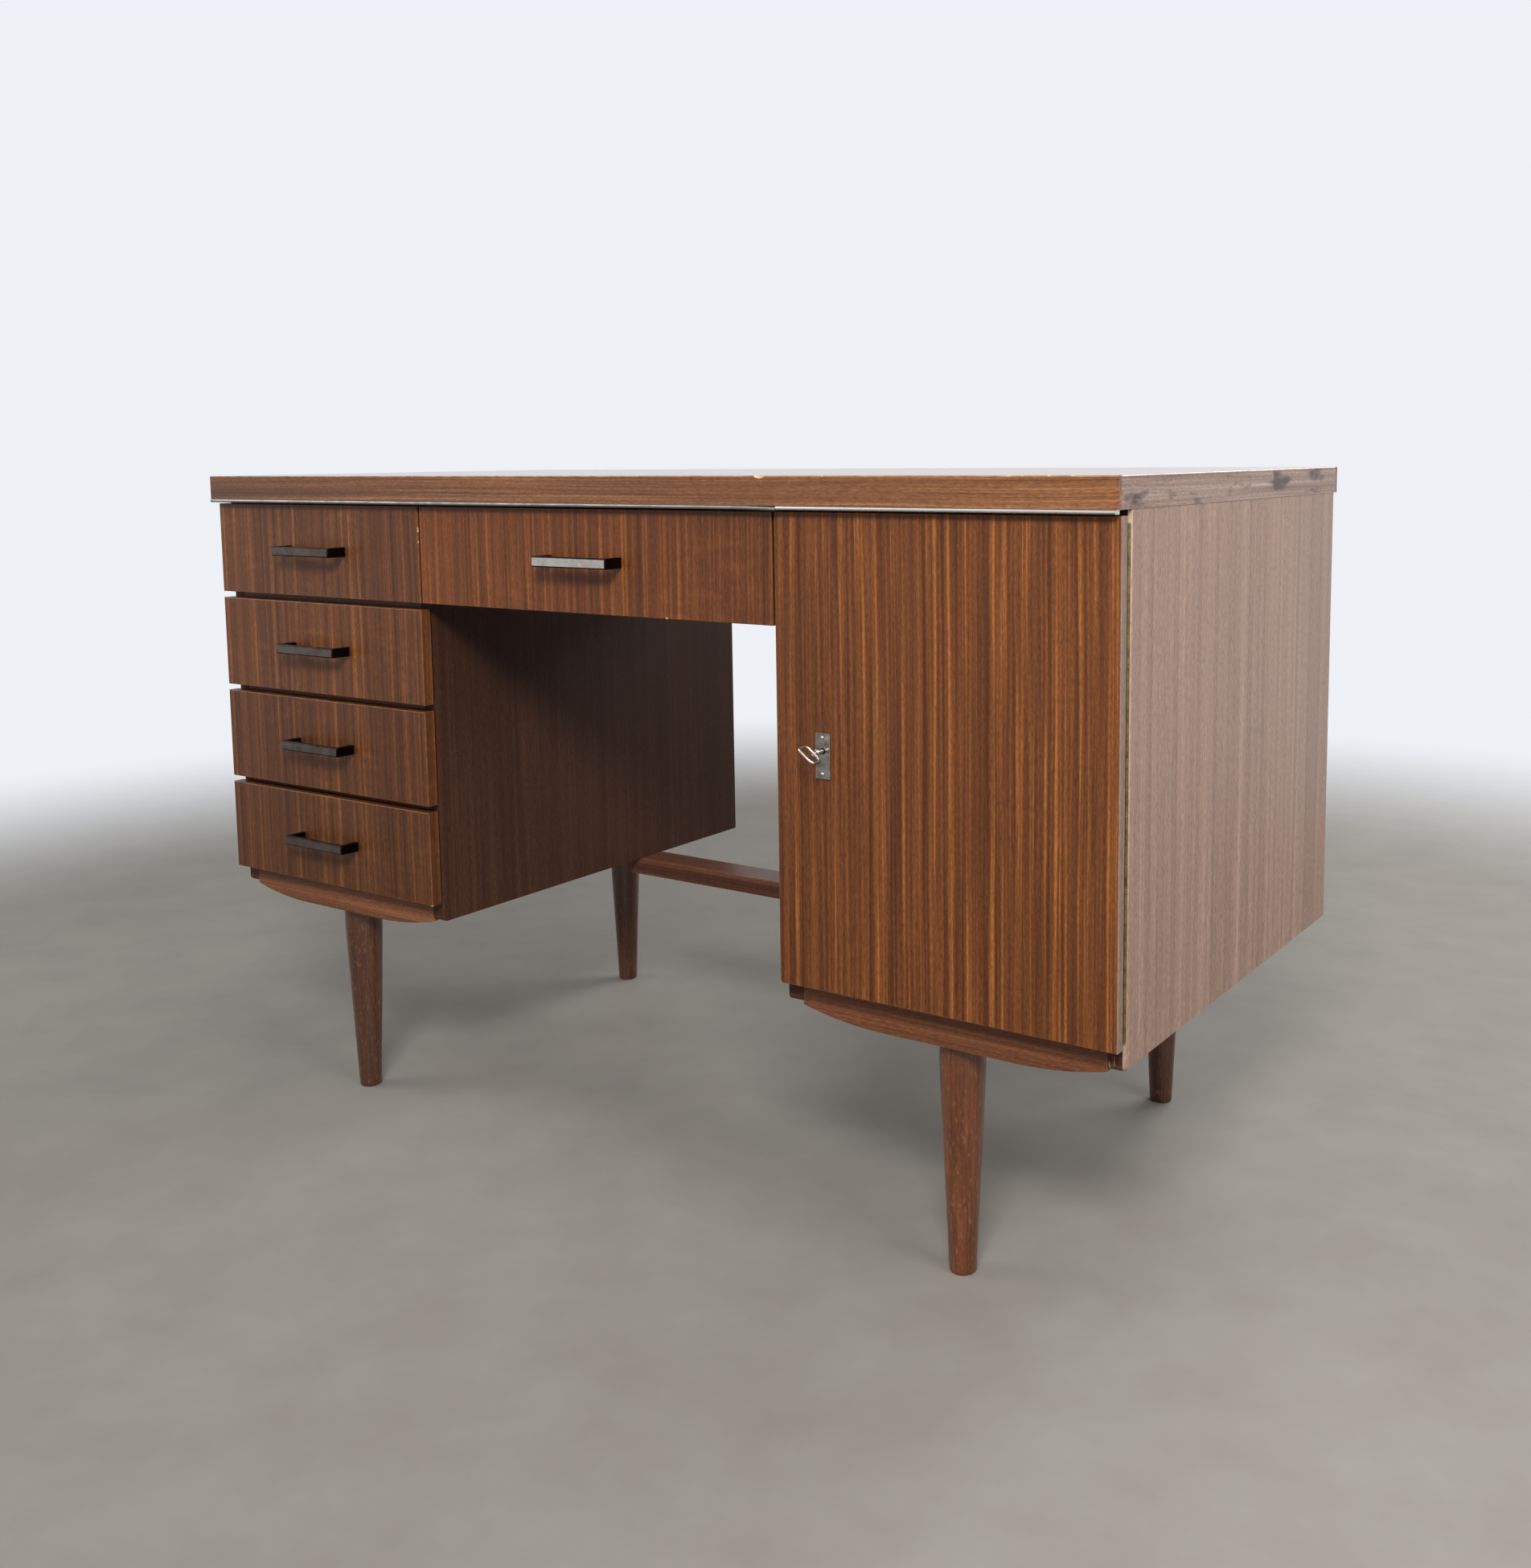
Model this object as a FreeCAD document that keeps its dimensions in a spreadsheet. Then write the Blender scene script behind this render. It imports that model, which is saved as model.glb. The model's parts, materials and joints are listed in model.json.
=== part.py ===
"""Kneehole writing desk: two pedestals on tapered legs, five drawers and one locking door.

Lengths are in millimetres. X runs along the desk, -Y points to the sitter and +Z is up.
The origin lies on the floor, in the middle of the desk's length and of its overall depth.
"""

import os
import re

import FreeCAD
import Part
import Sketcher

SIZES = {
    # overall
    "desk_length": 1200.0,
    "desk_depth": 580.0,
    "desk_height": 750.0,
    "leg_height": 240.7,
    # desktop
    "top_thickness": 28.0,
    "lipping_thickness": 5.0,
    "lipping_rounding": 1.2,
    "trim_height": 3.8,
    "trim_depth": 9.0,
    "trim_proud": 1.2,
    "trim_short_end": 3.0,
    # carcass
    "pedestal_width": 354.0,
    "left_inset": 3.0,
    "right_inset": 0.5,
    "carcass_setback": 25.4,
    "rear_overhang": 10.0,
    "side_thickness": 17.0,
    "side_corner": 6.0,
    "panel_thickness": 16.0,
    "back_thickness": 4.0,
    "back_inset": 2.0,
    "top_rail_thickness": 10.0,
    "rail_depth": 60.0,
    "shelf_height": 225.0,
    "shelf_setback": 40.0,
    "shelf_gap": 0.5,
    "shelf_pin_diameter": 5.0,
    "shelf_pin_reach": 7.0,
    "shelf_pin_inset": 60.0,
    # aprons and stretcher
    "apron_thickness": 8.0,
    "apron_drop": 13.4,
    "apron_end_drop": 2.0,
    "apron_sweep": 92.0,
    "stretcher_width": 45.0,
    "stretcher_thickness": 21.2,
    "stretcher_setback": 365.0,
    # legs
    "leg_top_diameter": 44.0,
    "leg_foot_diameter": 26.0,
    "leg_straight": 48.0,
    "leg_foot_rounding": 2.5,
    "leg_rear_inset": 38.8,
    "leg_clearance": 0.3,
    "leg_bolt_diameter": 8.0,
    "leg_bolt_in_leg": 35.0,
    "leg_bolt_in_panel": 12.0,
    # fronts
    "front_drop": 5.3,
    "front_setback": 9.4,
    "front_gap": 2.5,
    "front_rounding": 1.2,
    "stack_lift": 21.8,
    "drawer_gap": 7.4,
    "front_lap_out": 1.0,
    "front_lap_in": 0.5,
    "front_joint": 3.2,
    "door_joint": 2.6,
    "centre_front_short": 1.4,
    "door_inset": 0.9,
    # drawer boxes
    "box_length": 500.0,
    "centre_box_length": 430.0,
    "box_board": 12.0,
    "box_bottom_thickness": 4.0,
    "box_bottom_rise": 8.0,
    "box_groove": 5.0,
    "box_side_clearance": 1.0,
    "box_run_clearance": 0.4,
    "box_top_clearance": 5.0,
    "runner_width": 18.0,
    "centre_runner_height": 14.0,
    "centre_runner_rise": 1.0,
    # handles
    "handle_length": 102.0,
    "handle_height": 11.0,
    "handle_projection": 24.7,
    "handle_bar": 5.0,
    "handle_post": 6.0,
    "handle_rounding": 1.0,
    "handle_offset": 3.0,
    # lock and key
    "plate_width": 16.5,
    "plate_height": 43.5,
    "plate_thickness": 1.2,
    "plate_backset": 53.5,
    "key_above_plate_middle": 4.8,
    "keyhole_diameter": 6.4,
    "key_shaft_diameter": 4.6,
    "key_collar_diameter": 6.0,
    "key_collar_length": 4.0,
    "key_collar_lap": 1.0,
    "key_neck": 13.5,
    "key_insertion": 20.0,
    "bow_length": 17.5,
    "bow_width": 24.0,
    "bow_wire": 3.2,
    "bow_thickness": 2.6,
    "bow_corner": 6.0,
    "bow_tilt": 38.0,
    "case_height": 50.0,
    "case_depth": 12.0,
    "case_beyond_key": 14.0,
    "case_to_side": 4.0,
    "bolt_height": 14.0,
    "bolt_depth": 5.0,
    "bolt_length": 20.0,
    "bolt_clearance": 0.4,
    "bolt_setback": 5.5,
    "bolt_throw": 8.0,
    "strike_height": 40.0,
    "strike_width": 14.0,
    "strike_thickness": 1.2,
    "strike_hole_clearance": 1.0,
    "case_bore_floor": 2.0,
    # piano hinge
    "hinge_leaf_width": 13.0,
    "hinge_leaf_thickness": 0.8,
    "hinge_barrel_diameter": 3.4,
    "hinge_pin_diameter": 1.5,
    "hinge_bore_diameter": 1.62,
    "hinge_pin_inset": 1.5,
    "hinge_leaf_relief": 0.4,
    "hinge_tongue_lap": 1.0,
    "hinge_knuckle_gap": 0.4,
    "hinge_end_margin": 6.0,
    "hinge_relief_side": 3.0,
    "hinge_relief_door": 2.2,
    # how far a cutting shape runs past the face it cuts
    "cutter_overrun": 1.0,
}

DRAWERS = 4
HINGE_KNUCKLES = 34
# Slack in the tests that pick edges by where their middles lie.
TOUCH = 0.01

# Places and shares worked out from the sizes above, as text for the expressions.
KEY_REACH = "(key_neck + bow_length - front_setback)"
DESK_FRONT = f"(({KEY_REACH} - desk_depth) / 2)"
DESK_REAR = f"({DESK_FRONT} + desk_depth)"
LEFT_END = "(-desk_length / 2)"
RIGHT_END = "(desk_length / 2)"
TOP_UNDERSIDE = "(desk_height - top_thickness)"

LEFT_OUT = f"({LEFT_END} + left_inset)"
LEFT_IN = f"({LEFT_OUT} + pedestal_width)"
RIGHT_OUT = f"({RIGHT_END} - right_inset)"
RIGHT_IN = f"({RIGHT_OUT} - pedestal_width)"
KNEEHOLE = f"({RIGHT_IN} - {LEFT_IN})"

CARCASS_FRONT = f"({DESK_FRONT} + carcass_setback)"
CARCASS_REAR = f"({DESK_REAR} - rear_overhang)"
CARCASS_DEPTH = f"({CARCASS_REAR} - {CARCASS_FRONT})"
CARCASS_HEIGHT = f"({TOP_UNDERSIDE} - leg_height)"
BAY_WIDTH = "(pedestal_width - 2 * side_thickness)"
BACK_FRONT = f"({CARCASS_REAR} - back_inset - back_thickness)"

FRONT_FACE = f"({DESK_FRONT} + front_setback)"
FRONT_THICKNESS = "(carcass_setback - front_setback - front_gap)"
FRONT_BACK = f"({FRONT_FACE} + {FRONT_THICKNESS})"
FRONT_TOP = f"({TOP_UNDERSIDE} - front_drop)"
STACK_BOTTOM = "(leg_height + stack_lift)"
FRONT_HEIGHT = f"(({FRONT_TOP} - {STACK_BOTTOM} - {DRAWERS - 1} * drawer_gap) / {DRAWERS})"
PITCH = f"({FRONT_HEIGHT} + drawer_gap)"
RUN_RISE = "((panel_thickness - drawer_gap) / 2)"
BOX_HEIGHT = f"({PITCH} - panel_thickness - box_run_clearance - box_top_clearance)"
FLOOR_TOP = f"({STACK_BOTTOM} + {RUN_RISE})"
FLOOR_UNDERSIDE = f"({FLOOR_TOP} - panel_thickness)"

CENTRE_FRONT_LEFT = f"({LEFT_IN} + front_lap_in + front_joint)"
CENTRE_FRONT_RIGHT = f"({RIGHT_IN} - centre_front_short)"
CENTRE_FRONT_WIDTH = f"({CENTRE_FRONT_RIGHT} - {CENTRE_FRONT_LEFT})"
DOOR_LEFT = f"({CENTRE_FRONT_RIGHT} + door_joint)"
DOOR_RIGHT = f"({RIGHT_OUT} - door_inset)"
DOOR_HEIGHT = f"({FRONT_TOP} - {STACK_BOTTOM})"

LOCK_X = f"({DOOR_LEFT} + plate_backset)"
PLATE_Z = f"({STACK_BOTTOM} + {DOOR_HEIGHT} / 2)"
LOCK_Z = f"({PLATE_Z} + key_above_plate_middle)"
SIDE_INSIDE = f"({RIGHT_IN} + side_thickness)"
CASE_LEFT = f"({SIDE_INSIDE} + case_to_side)"
CASE_WIDTH = f"({LOCK_X} + case_beyond_key - {CASE_LEFT})"
BOLT_FRONT = f"({FRONT_BACK} + bolt_setback)"

HINGE_X = f"({RIGHT_OUT} - hinge_pin_inset)"
HINGE_Y = f"({FRONT_BACK} + front_gap / 2)"
HINGE_BOTTOM = f"({STACK_BOTTOM} + hinge_end_margin)"
HINGE_PITCH = f"(({DOOR_HEIGHT} - 2 * hinge_end_margin) / {HINGE_KNUCKLES})"

LEG_FRONT_Y = f"({CARCASS_FRONT} + apron_thickness + leg_top_diameter / 2 + leg_clearance)"
LEG_REAR_Y = f"({CARCASS_REAR} - leg_rear_inset)"
LEG_X = {
    "left": f"({LEFT_OUT} + pedestal_width / 2)",
    "right": f"({RIGHT_OUT} - pedestal_width / 2)",
}

doc = FreeCAD.newDocument("writing_desk")
sheet = doc.addObject("Spreadsheet::Sheet", "Sizes")
for row, (alias, size) in enumerate(SIZES.items(), start=1):
    sheet.set(f"A{row}", alias)
    sheet.set(f"B{row}", str(size))
    sheet.setAlias(f"B{row}", alias)
doc.recompute()

ALIAS = re.compile(r"\b(" + "|".join(SIZES) + r")\b")
parts = []


def formula(text):
    """The same text with each size's name pointing into the sheet."""
    return ALIAS.sub(r"Sizes.\1", str(text))


def bind(thing, prop, text):
    thing.setExpression(prop, formula(text))


def number(text):
    """A formula's present value, used to draw a sketch before its constraints act."""
    return float(sheet.evalExpression(formula(text)))


def place(thing, x, y, z):
    for axis, text in zip("xyz", (x, y, z)):
        bind(thing, f"Placement.Base.{axis}", text)


def keep(thing, label):
    """Label a finished sub-part and list it for writing."""
    thing.Label = label
    parts.append(thing)
    return thing


def origin_plane(body, role):
    return next(item for item in body.Origin.OriginFeatures if item.Role == role)


def sketch_on(body, role):
    sketch = body.newObject("Sketcher::SketchObject", "Sketch")
    sketch.AttachmentSupport = [(origin_plane(body, role), "")]
    sketch.MapMode = "FlatFace"
    return sketch


def pin_point(sketch, curve, end, x, y):
    """Tie one end of a sketch curve to a place measured from the sketch's origin."""
    for kind, text in (("DistanceX", x), ("DistanceY", y)):
        index = sketch.addConstraint(
            Sketcher.Constraint(kind, -1, 1, curve, end, number(text)))
        bind(sketch, f"Constraints[{index}]", text)


def draw_outline(sketch, points):
    """Close a loop through the points; a point may carry the centre of the arc that leaves it."""
    first = sketch.GeometryCount
    spots = [FreeCAD.Vector(number(point[0]), number(point[1]), 0) for point in points]
    for index, point in enumerate(points):
        start = spots[index]
        finish = spots[(index + 1) % len(points)]
        if len(point) == 2:
            sketch.addGeometry(Part.LineSegment(start, finish))
        else:
            sketch.addGeometry(arc_between(start, finish, point[2]))
    for index, point in enumerate(points):
        curve = first + index
        follower = first + (index + 1) % len(points)
        leaving, arriving = arc_ends(point)
        next_leaving = arc_ends(points[(index + 1) % len(points)])[0]
        sketch.addConstraint(
            Sketcher.Constraint("Coincident", curve, arriving, follower, next_leaving))
        pin_point(sketch, curve, leaving, point[0], point[1])
        if len(point) == 3:
            centre_x = point[2][0]
            row = sketch.addConstraint(
                Sketcher.Constraint("DistanceX", -1, 1, curve, 3, number(centre_x)))
            bind(sketch, f"Constraints[{row}]", centre_x)


def arc_between(start, finish, bend):
    """The arc round the bend's centre, which is stored counterclockwise whichever way it runs."""
    centre = FreeCAD.Vector(number(bend[0]), number(bend[1]), 0)
    circle = Part.Circle(centre, FreeCAD.Vector(0, 0, 1), (start - centre).Length)
    angles = [circle.parameter(spot) for spot in (start, finish)]
    if bend[2] == "clockwise":
        angles.reverse()
    return Part.ArcOfCircle(circle, angles[0], angles[1])


def arc_ends(point):
    """Which ends of the curve leave this point and reach the next one."""
    if len(point) == 3 and point[2][2] == "clockwise":
        return 2, 1
    return 1, 2


def rectangle(x, y, width, height):
    return [
        (x, y),
        (f"{x} + {width}", y),
        (f"{x} + {width}", f"{y} + {height}"),
        (x, f"{y} + {height}"),
    ]


def edges_where(feature, test):
    return [f"Edge{i}" for i, edge in enumerate(feature.Shape.Edges, start=1) if test(edge)]


def soften(body, feature, kind, size, test):
    """Round or bevel the edges of a feature that pass the test."""
    doc.recompute()
    dressing = body.newObject(f"PartDesign::{kind}", kind)
    dressing.Base = (feature, edges_where(feature, test))
    bind(dressing, "Radius" if kind == "Fillet" else "Size", size)
    feature.Visibility = False
    return dressing


def extruded(name, role, loops, length, x, y, z, reverse=False):
    """A board or bar whose section is drawn on one of its own planes."""
    body = doc.addObject("PartDesign::Body", name)
    sketch = sketch_on(body, role)
    for loop in loops:
        draw_outline(sketch, loop)
    pad = body.newObject("PartDesign::Pad", "Pad")
    pad.Profile = sketch
    bind(pad, "Length", length)
    pad.Reversed = reverse
    place(body, x, y, z)
    return body, pad


def board(name, x, y, z, width, depth, height):
    """A plain rectangular board with its low corner at x, y, z."""
    return extruded(name, "XY_Plane", [rectangle("0", "0", width, depth)], height, x, y, z)


def box_solid(name, x, y, z, width, depth, height):
    solid = doc.addObject("Part::Box", name)
    bind(solid, "Length", width)
    bind(solid, "Width", depth)
    bind(solid, "Height", height)
    place(solid, x, y, z)
    return solid


def round_solid(name, x, y, z, diameter, length, axis="Z"):
    """A cylinder that runs from x, y, z along +X, +Y or +Z."""
    solid = doc.addObject("Part::Cylinder", name)
    bind(solid, "Radius", f"({diameter}) / 2")
    bind(solid, "Height", length)
    turns = {
        "X": FreeCAD.Rotation(FreeCAD.Vector(0, 1, 0), 90),
        "Y": FreeCAD.Rotation(FreeCAD.Vector(1, 0, 0), -90),
        "Z": FreeCAD.Rotation(),
    }
    solid.Placement = FreeCAD.Placement(FreeCAD.Vector(), turns[axis])
    place(solid, x, y, z)
    return solid


def joined(name, solids):
    union = doc.addObject("Part::MultiFuse", name)
    union.Shapes = solids
    return union


def grouped(name, solids):
    """Separate solids that share a node, such as a set of like fasteners."""
    group = doc.addObject("Part::Compound", name)
    group.Links = solids
    return group


def cut(name, base, tools):
    remainder = doc.addObject("Part::Cut", name)
    remainder.Base = base
    remainder.Tool = tools[0] if len(tools) == 1 else joined(f"{name}_tools", tools)
    return remainder


def middle(edge):
    return edge.valueAt((edge.FirstParameter + edge.LastParameter) / 2)


def on_front_face(edge):
    return middle(edge).y < TOUCH


def build_desktop():
    """Veneered core panel with solid lippings on its four edges."""
    panel, _ = board("panel", f"{LEFT_END} + lipping_thickness", f"{DESK_FRONT} + lipping_thickness",
                     TOP_UNDERSIDE, "desk_length - 2 * lipping_thickness",
                     "desk_depth - 2 * lipping_thickness", "top_thickness")
    keep(panel, "desktop_panel")
    front = lipping("front", LEFT_END, DESK_FRONT, "desk_length", "lipping_thickness")
    keep(front, "desktop_front_lipping")
    rear = lipping("rear", LEFT_END, f"{DESK_REAR} - lipping_thickness",
                   "desk_length", "lipping_thickness")
    keep(rear, "desktop_rear_lipping")
    ends = [
        lipping(side, x, f"{DESK_FRONT} + lipping_thickness", "lipping_thickness",
                "desk_depth - 2 * lipping_thickness")
        for side, x in (("left", LEFT_END), ("right", f"{RIGHT_END} - lipping_thickness"))
    ]
    keep(grouped("end_lippings", ends), "desktop_end_lippings")


def lipping(side, x, y, width, depth):
    """One edge strip of the desktop, with its upper outer edge rounded."""
    body, pad = board(f"{side}_lipping", x, y, TOP_UNDERSIDE, width, depth, "top_thickness")
    soften(body, pad, "Fillet", "lipping_rounding", outer_top_edge(side))
    return body


def outer_top_edge(side):
    """Test for the upper edge of a lipping that faces away from the desk."""
    height = number("top_thickness")
    width = number("lipping_thickness")
    tests = {
        "front": lambda spot: spot.y < TOUCH,
        "rear": lambda spot: spot.y > width - TOUCH,
        "left": lambda spot: spot.x < TOUCH,
        "right": lambda spot: spot.x > width - TOUCH,
    }
    return lambda edge: middle(edge).z > height - TOUCH and tests[side](middle(edge))


def build_trim():
    """Bright strip with a rounded nose along the desktop's lower front edge."""
    nose = "trim_height / 2"
    section = [
        (nose, "0"),
        ("trim_depth", "0"),
        ("trim_depth", "trim_height"),
        (nose, "trim_height", (nose, nose, "counterclockwise")),
    ]
    strip, _ = extruded("strip", "YZ_Plane", [section], "desk_length - trim_short_end",
                        LEFT_END, f"{DESK_FRONT} - trim_proud", f"{TOP_UNDERSIDE} - trim_height")
    keep(strip, "front_trim_strip")


def build_sides():
    """Four upright sides, two to a pedestal, with the lower front corner rounded off."""
    sides = (
        ("left_pedestal_outer_side", LEFT_OUT),
        ("left_pedestal_inner_side", f"{LEFT_IN} - side_thickness"),
        ("right_pedestal_inner_side", RIGHT_IN),
        ("right_pedestal_outer_side", f"{RIGHT_OUT} - side_thickness"),
    )
    outline = [
        ("side_corner", "0"),
        (CARCASS_DEPTH, "0"),
        (CARCASS_DEPTH, CARCASS_HEIGHT),
        ("0", CARCASS_HEIGHT),
        ("0", "side_corner", ("side_corner", "side_corner", "counterclockwise")),
    ]
    for label, x in sides:
        body, pad = extruded(label, "YZ_Plane", [outline], "side_thickness",
                             x, CARCASS_FRONT, "leg_height")
        if label == "right_pedestal_outer_side":
            relieve_side_for_hinge(body, pad)
        if label == "right_pedestal_inner_side":
            mortise_side_for_bolt(body, pad)
        keep(body, label)


def relieve_side_for_hinge(body, pad):
    """Bevel the outer front edge, so that the hinge barrel turns beside it."""
    thickness = number("side_thickness")
    corner = number("side_corner")

    def outer_front(edge):
        spot = middle(edge)
        return spot.x > thickness - TOUCH and spot.y < TOUCH and spot.z > corner + TOUCH

    soften(body, pad, "Chamfer", "hinge_relief_side", outer_front)


def mortise_side_for_bolt(body, pad):
    """Pocket that the lock bolt enters."""
    doc.recompute()
    before = pad.Shape.Volume
    sketch = sketch_on(body, "YZ_Plane")
    low_y = f"{BOLT_FRONT} - {CARCASS_FRONT} - strike_hole_clearance"
    low_z = f"{LOCK_Z} - leg_height - bolt_height / 2 - strike_hole_clearance"
    draw_outline(sketch, rectangle(f"({low_y})", f"({low_z})",
                                   "(bolt_depth + 2 * strike_hole_clearance)",
                                   "(bolt_height + 2 * strike_hole_clearance)"))
    bind(sketch, "AttachmentOffset.Base.z", "side_thickness")
    pocket = body.newObject("PartDesign::Pocket", "Mortise")
    pocket.Profile = sketch
    bind(pocket, "Length", "bolt_throw + strike_hole_clearance - case_to_side")
    doc.recompute()
    if pocket.Shape.Volume > before - 1:
        raise RuntimeError("the bolt mortise removed nothing")


def build_pedestal_boards():
    """Floors, backs and top rails of both pedestals."""
    rails = []
    backs = []
    for side, left in (("left", LEFT_OUT), ("right", RIGHT_IN)):
        bay = f"{left} + side_thickness"
        panel = box_solid(f"{side}_floor_panel", bay, f"{CARCASS_FRONT} + apron_thickness",
                          FLOOR_UNDERSIDE, BAY_WIDTH,
                          f"{BACK_FRONT} - {CARCASS_FRONT} - apron_thickness", "panel_thickness")
        holes = [
            round_solid(f"{side}_{row}_bolt_hole", LEG_X[side], y, f"{FLOOR_UNDERSIDE} - cutter_overrun",
                        "leg_bolt_diameter", "leg_bolt_in_panel + cutter_overrun")
            for row, y in (("front", LEG_FRONT_Y), ("rear", LEG_REAR_Y))
        ]
        keep(cut(f"{side}_floor", panel, holes), f"{side}_pedestal_floor")
        backs.append(box_solid(f"{side}_back", bay, BACK_FRONT, FLOOR_UNDERSIDE, BAY_WIDTH,
                               "back_thickness", f"{TOP_UNDERSIDE} - {FLOOR_UNDERSIDE}"))
        for row, y in (("front", CARCASS_FRONT), ("rear", f"{BACK_FRONT} - rail_depth")):
            rails.append(box_solid(f"{side}_{row}_rail", bay, y,
                                   f"{TOP_UNDERSIDE} - top_rail_thickness",
                                   BAY_WIDTH, "rail_depth", "top_rail_thickness"))
    keep(grouped("backs", backs), "pedestal_backs")
    keep(grouped("rails", rails), "pedestal_top_rails")


def drawer_bottom_edge(level):
    """Lower edge of the front of drawer 1, 2, 3 or 4, counted from the top."""
    return f"({STACK_BOTTOM} + {DRAWERS - level} * {PITCH})"


def build_dividers():
    """Cross rails between the left drawers, with a runner behind each end."""
    bay = f"{LEFT_OUT} + side_thickness"
    runner_y = f"{CARCASS_FRONT} + rail_depth"
    runner_length = f"{BACK_FRONT} - {CARCASS_FRONT} - rail_depth"
    dividers = []
    runners = []
    for level in range(1, DRAWERS):
        low = f"({drawer_bottom_edge(level)} + {RUN_RISE} - panel_thickness)"
        dividers.append(box_solid(f"divider_{level}", bay, CARCASS_FRONT, low,
                                  BAY_WIDTH, "rail_depth", "panel_thickness"))
        for side, x in (("left", bay), ("right", f"{LEFT_IN} - side_thickness - runner_width")):
            runners.append(box_solid(f"{side}_runner_{level}", x, runner_y, low,
                                     "runner_width", runner_length, "panel_thickness"))
    keep(grouped("dividers", dividers), "drawer_divider_rails")
    keep(grouped("runners", runners), "drawer_runners")


def build_centre_runners():
    """Battens on the inner sides that carry the drawer over the kneehole."""
    low = f"({drawer_bottom_edge(1)} + centre_runner_rise)"
    runners = [
        box_solid(f"centre_runner_{index}", x, CARCASS_FRONT, low, "runner_width",
                  "centre_box_length", "centre_runner_height")
        for index, x in enumerate((LEFT_IN, f"{RIGHT_IN} - runner_width"))
    ]
    keep(grouped("centre_runners", runners), "centre_drawer_runners")


def build_shelf():
    """Loose shelf on four pins in the cupboard."""
    bay = f"{RIGHT_IN} + side_thickness"
    low = f"({FLOOR_TOP} + shelf_height)"
    front = f"({CARCASS_FRONT} + shelf_setback)"
    depth = f"({BACK_FRONT} - {front} - shelf_gap)"
    shelf, _ = board("shelf", f"{bay} + shelf_gap", front, low,
                     f"{BAY_WIDTH} - 2 * shelf_gap", depth, "panel_thickness")
    keep(shelf, "cupboard_shelf")
    pin_z = f"{low} - shelf_pin_diameter / 2"
    ends = (bay, f"{RIGHT_OUT} - side_thickness - shelf_pin_reach")
    rows = (f"{front} + shelf_pin_inset", f"{front} + {depth} - shelf_pin_inset")
    pins = [
        round_solid(f"shelf_pin_{index}", x, y, pin_z, "shelf_pin_diameter", "shelf_pin_reach", "X")
        for index, (x, y) in enumerate((x, y) for x in ends for y in rows)
    ]
    keep(grouped("shelf_pins_group", pins), "shelf_pins")


def build_aprons():
    """Bow-bottomed boards between the sides, below the fronts."""
    rise = "(apron_drop - apron_end_drop)"
    radius = f"((apron_sweep ^ 2 + {rise} ^ 2) / (2 * {rise}))"
    height = f"({FLOOR_TOP} - leg_height + apron_drop)"
    outline = [
        ("apron_sweep", "0"),
        (f"{BAY_WIDTH} - apron_sweep", "0",
         (f"{BAY_WIDTH} - apron_sweep", radius, "counterclockwise")),
        (BAY_WIDTH, rise),
        (BAY_WIDTH, height),
        ("0", height),
        ("0", rise, ("apron_sweep", radius, "counterclockwise")),
    ]
    for side, left in (("left", LEFT_OUT), ("right", RIGHT_IN)):
        apron, _ = extruded(f"{side}_bow", "XZ_Plane", [outline], "apron_thickness",
                            f"{left} + side_thickness", CARCASS_FRONT, "leg_height - apron_drop",
                            reverse=True)
        keep(apron, f"{side}_apron")


def build_stretcher():
    """Flat rail that ties the two pedestals under their inner sides."""
    rail, _ = board("stretcher", f"{LEFT_IN} - side_thickness", f"{DESK_FRONT} + stretcher_setback",
                    "leg_height - stretcher_thickness", f"{KNEEHOLE} + 2 * side_thickness",
                    "stretcher_width", "stretcher_thickness")
    keep(rail, "kneehole_stretcher")


def build_legs():
    """Turned legs, straight at the top and tapered to a rounded foot, bored for their bolts."""
    rim = "leg_foot_diameter / 2 - leg_foot_rounding"
    outline = [
        ("0", "0"),
        (rim, "0", (rim, "leg_foot_rounding", "counterclockwise")),
        ("leg_foot_diameter / 2", "leg_foot_rounding"),
        ("leg_top_diameter / 2", f"{FLOOR_UNDERSIDE} - leg_straight"),
        ("leg_top_diameter / 2", FLOOR_UNDERSIDE),
        ("leg_bolt_diameter / 2", FLOOR_UNDERSIDE),
        ("leg_bolt_diameter / 2", f"{FLOOR_UNDERSIDE} - leg_bolt_in_leg"),
        ("0", f"{FLOOR_UNDERSIDE} - leg_bolt_in_leg"),
    ]
    for row, y in (("front", LEG_FRONT_Y), ("rear", LEG_REAR_Y)):
        for side, x in LEG_X.items():
            label = f"{row}_{side}_leg"
            body = doc.addObject("PartDesign::Body", label)
            sketch = sketch_on(body, "XZ_Plane")
            draw_outline(sketch, outline)
            turning = body.newObject("PartDesign::Revolution", "Turning")
            turning.Profile = sketch
            turning.ReferenceAxis = (sketch, ["V_Axis"])
            turning.Angle = 360
            place(body, x, y, "0")
            keep(body, label)


def build_leg_bolts():
    """Bolts that stand in the pedestal floors and hold the legs."""
    bolts = [
        round_solid(f"leg_bolt_{index}", x, y, f"{FLOOR_UNDERSIDE} - leg_bolt_in_leg",
                    "leg_bolt_diameter", "leg_bolt_in_leg + leg_bolt_in_panel")
        for index, (x, y) in enumerate(
            (x, y) for x in LEG_X.values() for y in (LEG_FRONT_Y, LEG_REAR_Y))
    ]
    keep(grouped("leg_bolts_group", bolts), "leg_bolts")


def build_front(label, x, z, width, height):
    """A drawer front with its outer edges eased."""
    body, pad = board(label, x, FRONT_FACE, z, width, FRONT_THICKNESS, height)
    soften(body, pad, "Fillet", "front_rounding", on_front_face)
    keep(body, label)


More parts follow.
